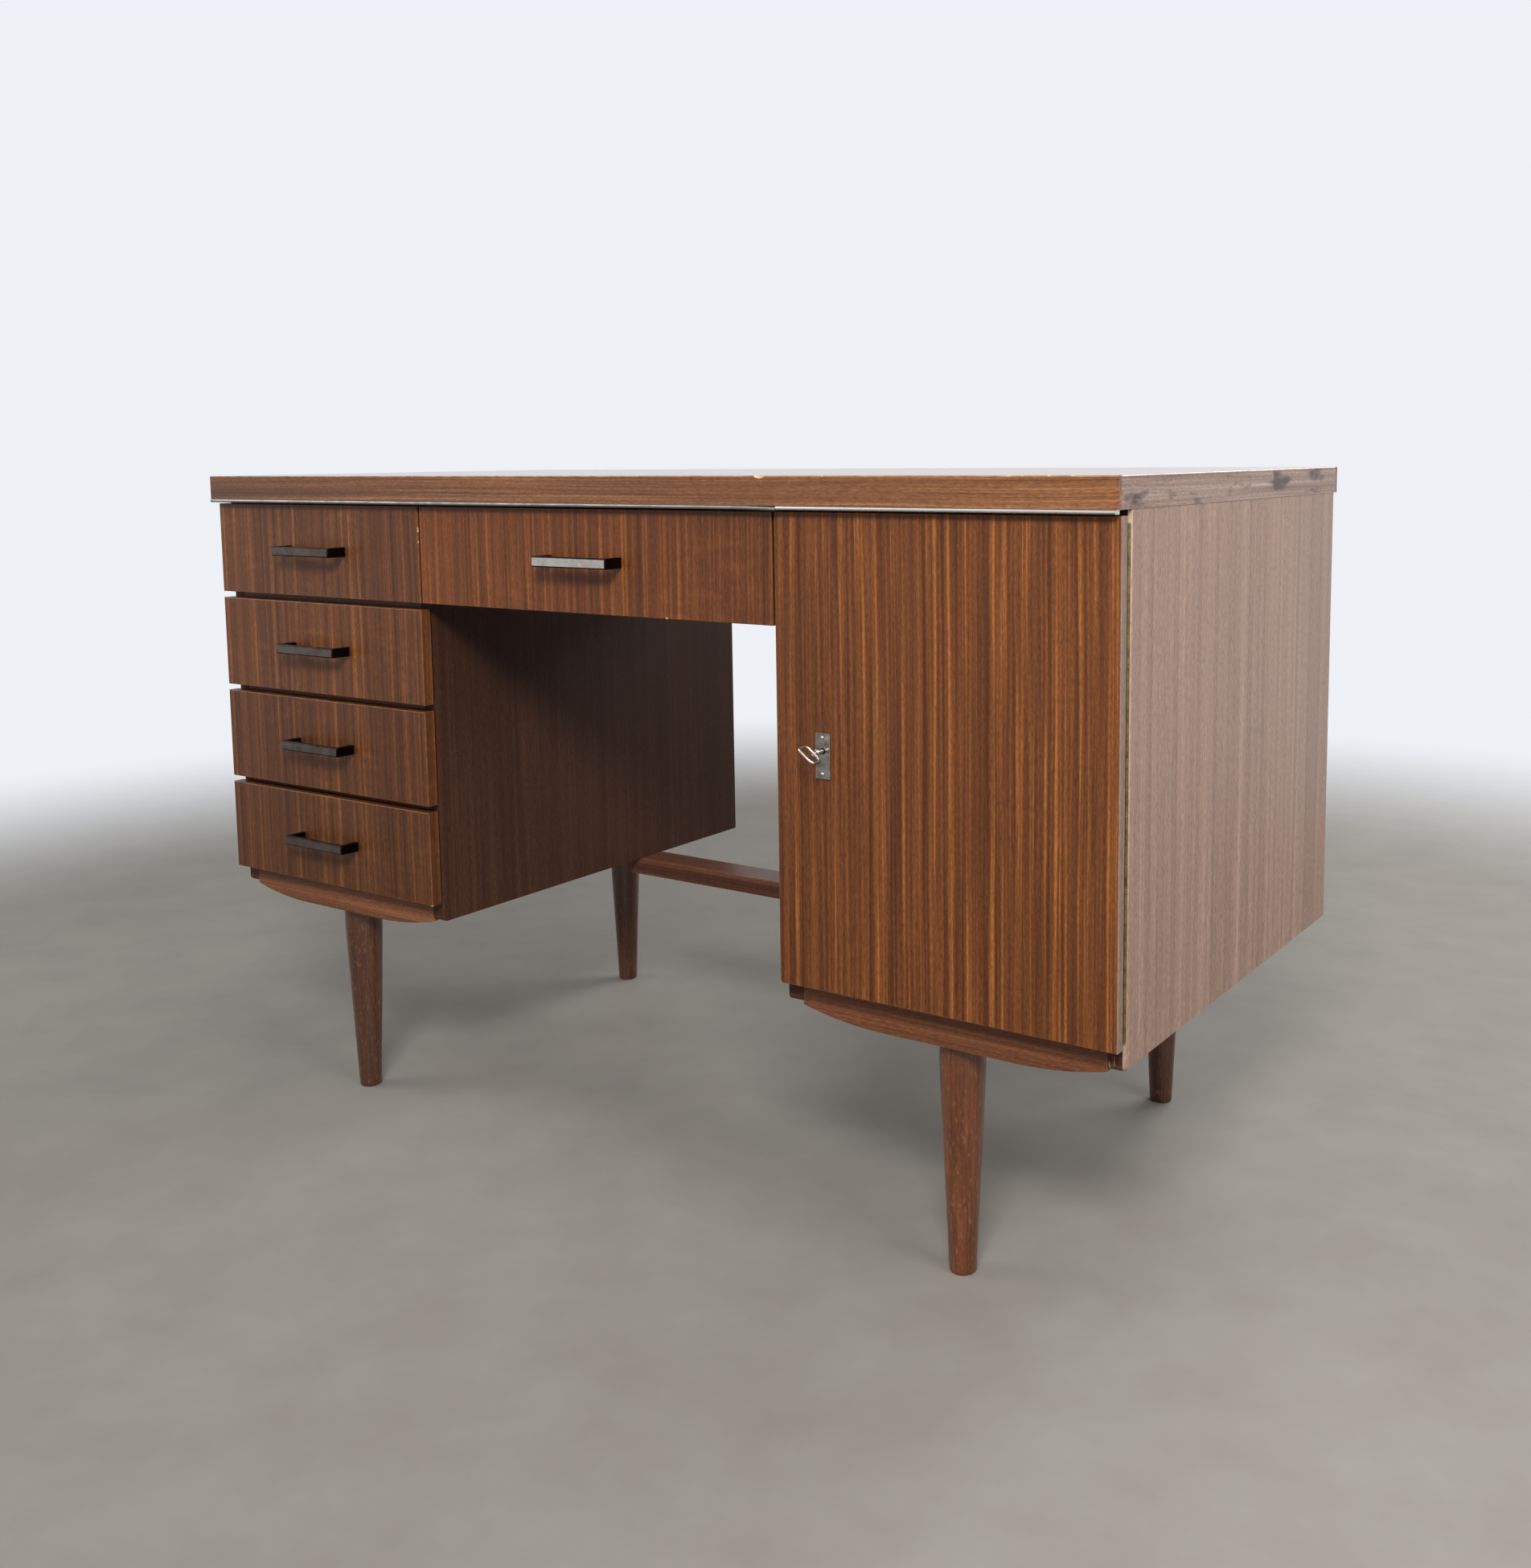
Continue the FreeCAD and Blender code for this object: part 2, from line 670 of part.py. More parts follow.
def build_box(name, left, width, low, height, length):
    """Sides, back and bottom of a drawer; the bottom sits in grooves in the sides."""
    sides = []
    for side, x in (("left", left), ("right", f"{left} + {width} - box_board")):
        inner, slot, outer = "box_board", "box_board - box_groove", "0"
        if side == "right":
            inner, slot, outer = "0", "box_groove", "box_board"
        section = [
            (outer, "0"),
            (inner, "0"),
            (inner, "box_bottom_rise"),
            (slot, "box_bottom_rise"),
            (slot, "box_bottom_rise + box_bottom_thickness"),
            (inner, "box_bottom_rise + box_bottom_thickness"),
            (inner, height),
            (outer, height),
        ]
        body, _ = extruded(f"{name}_{side}", "XZ_Plane", [section], length,
                           x, FRONT_BACK, low, reverse=True)
        sides.append(body)
    keep(grouped(f"{name}_pair", sides), f"{name}_sides")
    inner_left = f"{left} + box_board"
    inner_width = f"{width} - 2 * box_board"
    above = "(box_bottom_rise + box_bottom_thickness)"
    back, _ = board(f"{name}_rear", inner_left, f"{FRONT_BACK} + {length} - box_board",
                    f"{low} + {above}", inner_width, "box_board", f"{height} - {above}")
    keep(back, f"{name}_back")
    bottom, _ = board(f"{name}_base", f"{inner_left} - box_groove", FRONT_BACK,
                      f"{low} + box_bottom_rise", f"{inner_width} + 2 * box_groove", length,
                      "box_bottom_thickness")
    keep(bottom, f"{name}_bottom")


def build_handle(label, centre_x, centre_z):
    """Bar pull on two square posts, cut from one bar and softened on its outer edges."""
    inner = "(handle_length - handle_post)"
    outline = [
        ("0", "0"),
        ("handle_length", "0"),
        ("handle_length", "handle_projection"),
        (inner, "handle_projection"),
        (inner, "handle_bar"),
        ("handle_post", "handle_bar"),
        ("handle_post", "handle_projection"),
        ("0", "handle_projection"),
    ]
    body, pad = extruded(label, "XY_Plane", [outline], "handle_height",
                         f"{centre_x} - handle_length / 2 + handle_offset",
                         f"{FRONT_FACE} - handle_projection", f"{centre_z} - handle_height / 2")
    soften(body, pad, "Chamfer", "handle_rounding", on_front_face)
    keep(body, label)


def build_left_drawers():
    box_width = f"({BAY_WIDTH} - 2 * box_side_clearance)"
    box_left = f"({LEFT_OUT} + side_thickness + box_side_clearance)"
    front_left = f"({LEFT_OUT} - front_lap_out)"
    front_width = "(pedestal_width + front_lap_out + front_lap_in)"
    for level in range(1, DRAWERS + 1):
        low = drawer_bottom_edge(level)
        name = f"drawer_{level}"
        build_front(f"{name}_front", front_left, low, front_width, FRONT_HEIGHT)
        build_box(name, box_left, box_width, f"({low} + {RUN_RISE} + box_run_clearance)",
                  BOX_HEIGHT, "box_length")
        build_handle(f"{name}_handle", f"{front_left} + {front_width} / 2",
                     f"{low} + {FRONT_HEIGHT} / 2")


def build_centre_drawer():
    low = drawer_bottom_edge(1)
    box_low = f"({low} + centre_runner_rise + centre_runner_height + box_run_clearance)"
    build_front("centre_drawer_front", CENTRE_FRONT_LEFT, low, CENTRE_FRONT_WIDTH, FRONT_HEIGHT)
    build_box("centre_drawer", f"({LEFT_IN} + box_side_clearance)",
              f"({KNEEHOLE} - 2 * box_side_clearance)", box_low,
              f"({TOP_UNDERSIDE} - box_top_clearance - {box_low})", "centre_box_length")
    build_handle("centre_drawer_handle", f"{CENTRE_FRONT_LEFT} + {CENTRE_FRONT_WIDTH} / 2",
                 f"{low} + {FRONT_HEIGHT} / 2")


def build_door():
    """Door panel, bored for the key and bevelled behind its hinged edge."""
    width = f"({DOOR_RIGHT} - {DOOR_LEFT})"
    body, pad = board("door", DOOR_LEFT, FRONT_FACE, STACK_BOTTOM,
                      width, FRONT_THICKNESS, DOOR_HEIGHT)
    keep(body, "door_panel")
    rounded = soften(body, pad, "Fillet", "front_rounding", on_front_face)
    far_x = number(width)
    far_y = number(FRONT_THICKNESS)
    mid_z = number(DOOR_HEIGHT) / 2

    def hinged_rear(edge):
        spot = middle(edge)
        return spot.x > far_x - TOUCH and spot.y > far_y - TOUCH and abs(spot.z - mid_z) < TOUCH

    bevelled = soften(body, rounded, "Chamfer", "hinge_relief_door", hinged_rear)
    doc.recompute()
    before = bevelled.Shape.Volume
    sketch = sketch_on(body, "XZ_Plane")
    hole = sketch.addGeometry(Part.Circle(FreeCAD.Vector(), FreeCAD.Vector(0, 0, 1), 1))
    size = sketch.addConstraint(Sketcher.Constraint("Diameter", hole, number("keyhole_diameter")))
    bind(sketch, f"Constraints[{size}]", "keyhole_diameter")
    pin_point(sketch, hole, 3, f"{LOCK_X} - {DOOR_LEFT}", f"{LOCK_Z} - {STACK_BOTTOM}")
    bore = body.newObject("PartDesign::Pocket", "Keyway")
    bore.Profile = sketch
    bore.Type = "ThroughAll"
    bore.Midplane = True
    doc.recompute()
    if bore.Shape.Volume > before - 1:
        raise RuntimeError("the keyway removed nothing")


def build_lock():
    """Lock case, bolt, outside plate and strike plate."""
    case = box_solid("case_block", CASE_LEFT, FRONT_BACK, f"{LOCK_Z} - case_height / 2",
                     CASE_WIDTH, "case_depth", "case_height")
    slot = box_solid("case_slot", CASE_LEFT, f"{BOLT_FRONT} - bolt_clearance",
                     f"{LOCK_Z} - bolt_height / 2 - bolt_clearance",
                     "bolt_length + bolt_clearance", "bolt_depth + 2 * bolt_clearance",
                     "bolt_height + 2 * bolt_clearance")
    well = round_solid("case_keyway", LOCK_X, FRONT_BACK, LOCK_Z, "keyhole_diameter",
                       "case_depth - case_bore_floor", "Y")
    keep(cut("lock_case_cut", case, [slot, well]), "lock_case")
    keep(box_solid("bolt_bar", CASE_LEFT, BOLT_FRONT, f"{LOCK_Z} - bolt_height / 2",
                   "bolt_length", "bolt_depth", "bolt_height"), "lock_bolt")

    plate = box_solid("plate_blank", f"{LOCK_X} - plate_width / 2", f"{FRONT_FACE} - plate_thickness",
                      f"{PLATE_Z} - plate_height / 2", "plate_width", "plate_thickness", "plate_height")
    keyhole = round_solid("plate_keyhole", LOCK_X, f"{FRONT_FACE} - plate_thickness - cutter_overrun",
                          LOCK_Z, "keyhole_diameter", "plate_thickness + 2 * cutter_overrun", "Y")
    keep(cut("plate_cut", plate, [keyhole]), "lock_plate")

    strike = box_solid("strike_blank", SIDE_INSIDE, CARCASS_FRONT, f"{LOCK_Z} - strike_height / 2",
                       "strike_thickness", "strike_width", "strike_height")
    mouth = box_solid("strike_mouth", f"{SIDE_INSIDE} - cutter_overrun",
                      f"{BOLT_FRONT} - strike_hole_clearance",
                      f"{LOCK_Z} - bolt_height / 2 - strike_hole_clearance",
                      "strike_thickness + 2 * cutter_overrun",
                      "bolt_depth + 2 * strike_hole_clearance",
                      "bolt_height + 2 * strike_hole_clearance")
    keep(cut("strike_cut", strike, [mouth]), "strike_plate")


def build_key():
    """Key with a ring bow; its blank is drawn lying flat and then tilted about its shaft."""
    half = "bow_width / 2"
    outer = rectangle(f"(-{half})", "0", "bow_width", "bow_length")
    inner = rectangle(f"(-{half} + bow_wire)", "bow_wire", "(bow_width - 2 * bow_wire)",
                      "(bow_length - 2 * bow_wire)")
    blank = doc.addObject("PartDesign::Body", "key_bow_blank")
    sketch = sketch_on(blank, "XY_Plane")
    draw_outline(sketch, outer)
    draw_outline(sketch, inner)
    pad = blank.newObject("PartDesign::Pad", "Pad")
    pad.Profile = sketch
    bind(pad, "Length", "bow_thickness")
    pad.Midplane = True
    wide = number("bow_width") / 2
    tall = number("bow_length")
    wire = number("bow_wire")

    def outer_corner(edge):
        spot = middle(edge)
        return abs(spot.z) < TOUCH and abs(spot.x) > wide - TOUCH

    def inner_corner(edge):
        spot = middle(edge)
        inside = abs(spot.x) < wide - TOUCH and wire - TOUCH < spot.y < tall - wire + TOUCH
        return inside and abs(spot.z) < TOUCH

    rounded = soften(blank, pad, "Fillet", "bow_corner", outer_corner)
    soften(blank, rounded, "Fillet", "bow_corner - bow_wire / 2", inner_corner)
    shaft = round_solid("key_shaft", "0", "bow_length - bow_wire / 2", "0", "key_shaft_diameter",
                        "bow_wire / 2 + key_neck + key_insertion", "Y")
    collar = round_solid("key_collar", "0", "bow_length - key_collar_lap", "0",
                         "key_collar_diameter", "key_collar_length + key_collar_lap", "Y")
    key = joined("key_solid", [blank, shaft, collar])
    tilt = FreeCAD.Rotation(FreeCAD.Vector(0, 1, 0), number("bow_tilt"))
    key.Placement = FreeCAD.Placement(FreeCAD.Vector(), tilt)
    bind(key, "Placement.Rotation.Angle", "bow_tilt")
    place(key, LOCK_X, f"{FRONT_FACE} - key_neck - bow_length", LOCK_Z)
    keep(key, "door_key")


def build_hinge():
    """Piano hinge: two leaves whose knuckles take turns along one pin."""
    leaves = (
        ("hinge_side_leaf", f"{CARCASS_FRONT} - hinge_leaf_thickness", 0),
        ("hinge_door_leaf", FRONT_BACK, 1),
    )
    length = f"{HINGE_KNUCKLES} * {HINGE_PITCH}"
    reach = "(hinge_barrel_diameter / 2 + hinge_leaf_relief)"
    for label, leaf_y, turn in leaves:
        solids = [
            box_solid(f"{label}_plate", f"{HINGE_X} - hinge_leaf_width", leaf_y, HINGE_BOTTOM,
                      f"hinge_leaf_width - {reach}", "hinge_leaf_thickness", length)
        ]
        for index in range(turn, HINGE_KNUCKLES, 2):
            low = f"{HINGE_BOTTOM} + {index} * {HINGE_PITCH} + hinge_knuckle_gap / 2"
            tall = f"{HINGE_PITCH} - hinge_knuckle_gap"
            solids.append(round_solid(f"{label}_knuckle_{index}", HINGE_X, HINGE_Y, low,
                                      "hinge_barrel_diameter", tall))
            solids.append(box_solid(f"{label}_tongue_{index}", f"{HINGE_X} - {reach} - hinge_tongue_lap",
                                    leaf_y, low, reach, "hinge_leaf_thickness", tall))
        bore = round_solid(f"{label}_bore", HINGE_X, HINGE_Y, f"{HINGE_BOTTOM} - cutter_overrun",
                           "hinge_bore_diameter", f"{length} + 2 * cutter_overrun")
        keep(cut(f"{label}_cut", joined(f"{label}_blank", solids), [bore]), label)
    keep(round_solid("hinge_pin_rod", HINGE_X, HINGE_Y, HINGE_BOTTOM, "hinge_pin_diameter", length),
         "hinge_pin")


def check_and_write():
    """Stop on any failed feature or bad solid, then write one file for each sub-part."""
    doc.recompute()
    for thing in doc.Objects:
        if "Invalid" in thing.State or "Error" in thing.State:
            raise RuntimeError(f"{thing.Name} ({thing.Label}) failed: {thing.State}")
    os.makedirs("parts", exist_ok=True)
    for thing in parts:
        shape = thing.Shape
        if shape.isNull() or not shape.isValid() or shape.Volume <= 0:
            raise RuntimeError(f"{thing.Label} has no valid solid")
        shape.exportStep(f"parts/{thing.Label}.step")
    print(f"{len(parts)} sub-parts written")


build_desktop()
build_trim()
build_sides()
build_pedestal_boards()
build_dividers()
build_centre_runners()
build_shelf()
build_aprons()
build_stretcher()
build_legs()
build_leg_bolts()
build_left_drawers()
build_centre_drawer()
build_door()
build_lock()
build_key()
build_hinge()
check_and_write()
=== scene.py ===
"""Looks of the kneehole writing desk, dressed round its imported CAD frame.

Metres, Z up, the sitter at -Y. Every board is a merged, eased copy of its CAD node.
"""

import json
import math
import random

import bmesh
import bpy
from mathutils import Matrix, Vector


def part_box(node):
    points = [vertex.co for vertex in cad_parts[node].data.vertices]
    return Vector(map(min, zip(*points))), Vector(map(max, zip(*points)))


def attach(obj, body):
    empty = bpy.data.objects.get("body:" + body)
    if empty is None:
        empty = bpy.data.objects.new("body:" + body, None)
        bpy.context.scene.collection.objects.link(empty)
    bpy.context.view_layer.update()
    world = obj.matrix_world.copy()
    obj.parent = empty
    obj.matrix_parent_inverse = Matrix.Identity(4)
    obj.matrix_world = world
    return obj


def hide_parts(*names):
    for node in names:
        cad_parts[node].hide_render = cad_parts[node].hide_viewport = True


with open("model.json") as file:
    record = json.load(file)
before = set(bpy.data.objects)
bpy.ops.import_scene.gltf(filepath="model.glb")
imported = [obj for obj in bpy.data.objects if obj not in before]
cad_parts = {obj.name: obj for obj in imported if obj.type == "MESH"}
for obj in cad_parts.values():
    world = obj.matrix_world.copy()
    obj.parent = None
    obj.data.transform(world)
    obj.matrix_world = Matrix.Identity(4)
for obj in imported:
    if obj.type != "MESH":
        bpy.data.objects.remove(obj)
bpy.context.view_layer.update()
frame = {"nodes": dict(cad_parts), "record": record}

MM = 0.001
BODY_OF = {
    name: body
    for body, names in frame["record"]["behaviour"]["bodies"].items()
    for name in names
}
MERGE = 2e-6                      # metres; doubles of a CAD node lie on the same spot
SMOOTH_ANGLE = math.radians(35)   # edges sharper than this stay crisp
EASED_ANGLE = math.radians(40)    # edges sharper than this are rounded off
ONE_FLAT = math.radians(0.5)      # triangles that differ by less than this are one flat face
FLAT = 0.9995                     # a normal this near an axis belongs to a square, flat face
GRAIN_SEED = 1961
DRAWERS = ("drawer_1", "drawer_2", "drawer_3", "drawer_4", "centre_drawer")


def srgb(code):
    """A colour written as six sRGB hex digits, turned to linear light."""
    linear = []
    for start in (0, 2, 4):
        c = int(code[start:start + 2], 16) / 255
        linear.append(c / 12.92 if c <= 0.04045 else ((c + 0.055) / 1.055) ** 2.4)
    return (*linear, 1.0)


def add(tree, kind, inputs=None, stops=None, **settings):
    """Add one node. An input given as a socket is linked, and any other value is set on it.

    stops are the places and colours of a ramp, and settings are the node's own.
    """
    made = tree.nodes.new(kind)
    for name, value in settings.items():
        setattr(made, name, value)
    for key, value in (inputs or {}).items():
        if isinstance(value, bpy.types.NodeSocket):
            tree.links.new(value, made.inputs[key])
        else:
            made.inputs[key].default_value = value
    if stops:
        ramp = made.color_ramp.elements
        while len(ramp) < len(stops):
            ramp.new(1.0)
        for element, (position, colour) in zip(ramp, stops):
            element.position = position
            element.color = colour
    return made


def new_material(name):
    """An empty node material, with its tree."""
    material = bpy.data.materials.new(name)
    material.use_nodes = True
    material.node_tree.nodes.clear()
    return material, material.node_tree


# ---------------------------------------------------------------- materials

ALONG = {"x": 0, "y": 1, "z": 2}
WEAR_PER_METRE = 70               # worn patches are about 14 mm across


def lacquered_wood(name, tones, along, stripe_mm, lines_mm, contrast, figure, roughness,
                   worn_tone, worn_share=0.5, stains=0.0, pore_depth=0.5, shine=0.3,
                   lacquer=0.05, rays=0.0, relief=0.22):
    """Sliced or turned wood under clear lacquer.

    tones are dark, middle, light and bright, and contrast is how far the grain spreads over
    them. stripe_mm and lines_mm are the widths of the broad ribbons and of the fine lines in
    them. figure is the strength of the mottle across the grain, rays that of the pale lens
    shapes, stains that of the dark marks, pore_depth that of the pores' dark dashes and relief
    that of their hollows. shine is the wood's own reflection, and lacquer the share of a clear
    coat over it. worn_tone shows where an edge is rubbed through, worn_share of the way.
    """
    material, tree = new_material(name)
    axis = ALONG[along]

    def stretched(across_mm, along_mm):
        """Scale of a pattern with this size across the grain and along it."""
        scale = [1 / (across_mm * MM)] * 3
        scale[axis] = 1 / (along_mm * MM)
        return scale

    where = add(tree, "ShaderNodeTexCoord").outputs["Object"]
    shift = add(tree, "ShaderNodeAttribute", attribute_name="grain_shift").outputs["Vector"]
    # tint carries the board's tone together with any painted light and shade
    tint = add(tree, "ShaderNodeAttribute", attribute_name="tint").outputs["Color"]
    worn = add(tree, "ShaderNodeAttribute", attribute_name="worn").outputs["Fac"]
    placed = add(tree, "ShaderNodeVectorMath", {0: where, 1: shift}, operation="ADD").outputs[0]

    # the growth of the tree bends the ribbons up to 3.5 mm either way from straight
    bend_map = add(tree, "ShaderNodeMapping", {"Vector": placed, "Scale": stretched(260, 420)})
    bend = add(tree, "ShaderNodeTexNoise", {"Vector": bend_map.outputs[0], "Scale": 1.0,
                                            "Detail": 2.0})
    centred = add(tree, "ShaderNodeVectorMath", {0: bend.outputs["Color"], 1: (0.5, 0.5, 0.5)},
                  operation="SUBTRACT")
    swing = [7 * MM] * 3
    swing[axis] = 0.0
    sway = add(tree, "ShaderNodeVectorMath", {0: centred.outputs[0], 1: swing},
               operation="MULTIPLY")
    grain = add(tree, "ShaderNodeVectorMath", {0: placed, 1: sway.outputs[0]},
                operation="ADD").outputs[0]

    def streaks(across_mm, along_mm, detail, fineness=0.5, laid=grain):
        """Noise drawn out along the grain; its value is about 0.5 on average."""
        mapped = add(tree, "ShaderNodeMapping",
                     {"Vector": laid, "Scale": stretched(across_mm, along_mm)})
        return add(tree, "ShaderNodeTexNoise",
                   {"Vector": mapped.outputs[0], "Scale": 1.0, "Detail": detail,
                    "Roughness": fineness}).outputs["Fac"]

    broad = streaks(stripe_mm, 1400, 2.0)
    narrow = streaks(lines_mm, 380, 2.0, 0.55)
    pores = streaks(1.1, 16, 2.0, 0.6)       # real pores are 0.3 mm wide; drawn wider to show
    fleck = streaks(1.5, 5.5, 2.0, 0.7)      # the grainy glitter of short cut fibres

    blend = add(tree, "ShaderNodeMix", {0: 0.5, 2: broad, 3: narrow}, data_type="FLOAT")
    spread = add(tree, "ShaderNodeMapRange",
                 {"Value": blend.outputs[0], "From Min": 0.5 - 0.17 / contrast,
                  "From Max": 0.5 + 0.17 / contrast})
    dark, middle, light, bright = (srgb(tone) for tone in tones)
    colour = add(tree, "ShaderNodeValToRGB", {"Fac": spread.outputs[0]},
                 stops=[(0.05, dark), (0.42, middle), (0.72, light), (0.95, bright)]).outputs[0]

    # mottle across the grain, where the fibres dip in and out of the slice
    mottle = streaks(34, 9, 2.0, laid=placed)
    patch = streaks(70, 60, 1.0, laid=placed)
    patch_share = add(tree, "ShaderNodeMapRange",
                      {"Value": patch, "From Min": 0.46, "From Max": 0.64,
                       "To Max": figure}).outputs[0]
    raised = add(tree, "ShaderNodeMapRange",
                 {"Value": mottle, "From Min": 0.42, "From Max": 0.7}).outputs[0]
    mottle_gain = add(tree, "ShaderNodeMath", {0: raised, 1: patch_share, 2: 1.0},
                      operation="MULTIPLY_ADD").outputs[0]
    fleck_gain = add(tree, "ShaderNodeMapRange",
                     {"Value": fleck, "From Min": 0.3, "From Max": 0.7,
                      "To Min": 0.7, "To Max": 1.3}).outputs[0]
    pore_gain = add(tree, "ShaderNodeMapRange",
                    {"Value": pores, "From Min": 0.56, "From Max": 0.72,
                     "To Min": 1.0, "To Max": 1.0 - 0.45 * pore_depth}).outputs[0]
    gain = add(tree, "ShaderNodeMath", {0: mottle_gain, 1: fleck_gain}, operation="MULTIPLY")
    gain = add(tree, "ShaderNodeMath", {0: gain.outputs[0], 1: pore_gain}, operation="MULTIPLY")
    colour = add(tree, "ShaderNodeVectorMath", {0: colour, "Scale": gain.outputs[0]},
                 operation="SCALE").outputs[0]
    colour = add(tree, "ShaderNodeMix", {0: 1.0, 6: colour, 7: tint},
                 data_type="RGBA", blend_type="MULTIPLY").outputs[2]
    if stains:
        # old marks from wet hands and ink, a few centimetres long, nearly black
        spots = streaks(16, 60, 3.0, laid=placed)
        marked = add(tree, "ShaderNodeMapRange",
                     {"Value": spots, "From Min": 0.55, "From Max": 0.68, "To Max": stains})
        colour = add(tree, "ShaderNodeMix",
                     {0: marked.outputs[0], 6: colour, 7: srgb("2c1d22")},
                     data_type="RGBA").outputs[2]

    if rays:
        # the wood's rays, cut through as short pale lens shapes
        lens = streaks(2.6, 6, 1.0, 0.4)
        lit = add(tree, "ShaderNodeMapRange",
                  {"Value": lens, "From Min": 0.62, "From Max": 0.74, "To Max": rays})
        colour = add(tree, "ShaderNodeMix",
                     {0: lit.outputs[0], 6: colour, 7: srgb(worn_tone)},
                     data_type="RGBA").outputs[2]

    # edges rubbed through to paler wood in short lengths
    rub_map = add(tree, "ShaderNodeMapping",
                  {"Vector": placed, "Scale": [WEAR_PER_METRE] * 3})
    rub = add(tree, "ShaderNodeTexNoise", {"Vector": rub_map.outputs[0], "Scale": 1.0,
                                           "Detail": 4.0, "Roughness": 0.7}).outputs["Fac"]
    rub_mask = add(tree, "ShaderNodeMapRange",
                   {"Value": rub, "From Min": 0.38, "From Max": 0.66, "To Min": 0.12,
                    "To Max": worn_share})
    rubbed = add(tree, "ShaderNodeMath", {0: rub_mask.outputs[0], 1: worn}, operation="MULTIPLY")
    colour = add(tree, "ShaderNodeMix", {0: rubbed.outputs[0], 6: colour, 7: srgb(worn_tone)},
                 data_type="RGBA").outputs[2]

    varied = add(tree, "ShaderNodeMapRange",
                 {"Value": narrow, "From Min": 0.3, "From Max": 0.7,
                  "To Min": roughness - 0.05, "To Max": roughness + 0.07})
    lowered = add(tree, "ShaderNodeMath", {0: pores, 1: fleck}, operation="ADD")
    bump = add(tree, "ShaderNodeBump", {"Height": lowered.outputs[0], "Strength": relief,
                                        "Distance": 0.12 * MM})
    shader = add(tree, "ShaderNodeBsdfPrincipled",
                 {"Base Color": colour, "Roughness": varied.outputs[0],
                  "Normal": bump.outputs[0], "IOR": 1.48, "Specular IOR Level": shine,
                  "Coat Weight": lacquer, "Coat Roughness": 0.28})
    add(tree, "ShaderNodeOutputMaterial", {"Surface": shader.outputs[0]})
    return material


def bare_wood(name, tones, along, roughness):
    """Plain planed wood without lacquer: growth lines 7 mm apart, in dark, middle and light."""
    material, tree = new_material(name)
    axis = ALONG[along]
    scale = [1 / (7 * MM)] * 3
    scale[axis] = 1 / (160 * MM)
    where = add(tree, "ShaderNodeTexCoord").outputs["Object"]
    mapped = add(tree, "ShaderNodeMapping", {"Vector": where, "Scale": scale})
    lines = add(tree, "ShaderNodeTexNoise", {"Vector": mapped.outputs[0], "Scale": 1.0,
                                             "Detail": 4.0, "Roughness": 0.6}).outputs["Fac"]
    colour = add(tree, "ShaderNodeValToRGB", {"Fac": lines},
                 stops=[(0.32, srgb(tones[0])), (0.52, srgb(tones[1])), (0.72, srgb(tones[2]))])
    bump = add(tree, "ShaderNodeBump", {"Height": lines, "Strength": 0.25,
                                        "Distance": 0.2 * MM})
    shader = add(tree, "ShaderNodeBsdfPrincipled",
                 {"Base Color": colour.outputs[0], "Roughness": roughness,
                  "Normal": bump.outputs[0], "IOR": 1.5})
    add(tree, "ShaderNodeOutputMaterial", {"Surface": shader.outputs[0]})
    return material


def speckled(name, tones, grain_mm, roughness):
    """Pressed wood fibre: an even tone with fine light and dark fibres."""
    material, tree = new_material(name)
    where = add(tree, "ShaderNodeTexCoord").outputs["Object"]
    mapped = add(tree, "ShaderNodeMapping",
                 {"Vector": where, "Scale": [1 / (grain_mm * MM)] * 3})
    fibres = add(tree, "ShaderNodeTexNoise", {"Vector": mapped.outputs[0], "Scale": 1.0,
                                              "Detail": 5.0, "Roughness": 0.7}).outputs["Fac"]
    colour = add(tree, "ShaderNodeValToRGB", {"Fac": fibres},
                 stops=[(0.35, srgb(tones[0])), (0.65, srgb(tones[1]))])
    bump = add(tree, "ShaderNodeBump", {"Height": fibres, "Strength": 0.3,
                                        "Distance": 0.2 * MM})
    shader = add(tree, "ShaderNodeBsdfPrincipled",
                 {"Base Color": colour.outputs[0], "Roughness": roughness,
                  "Normal": bump.outputs[0], "IOR": 1.5})
    add(tree, "ShaderNodeOutputMaterial", {"Surface": shader.outputs[0]})
    return material


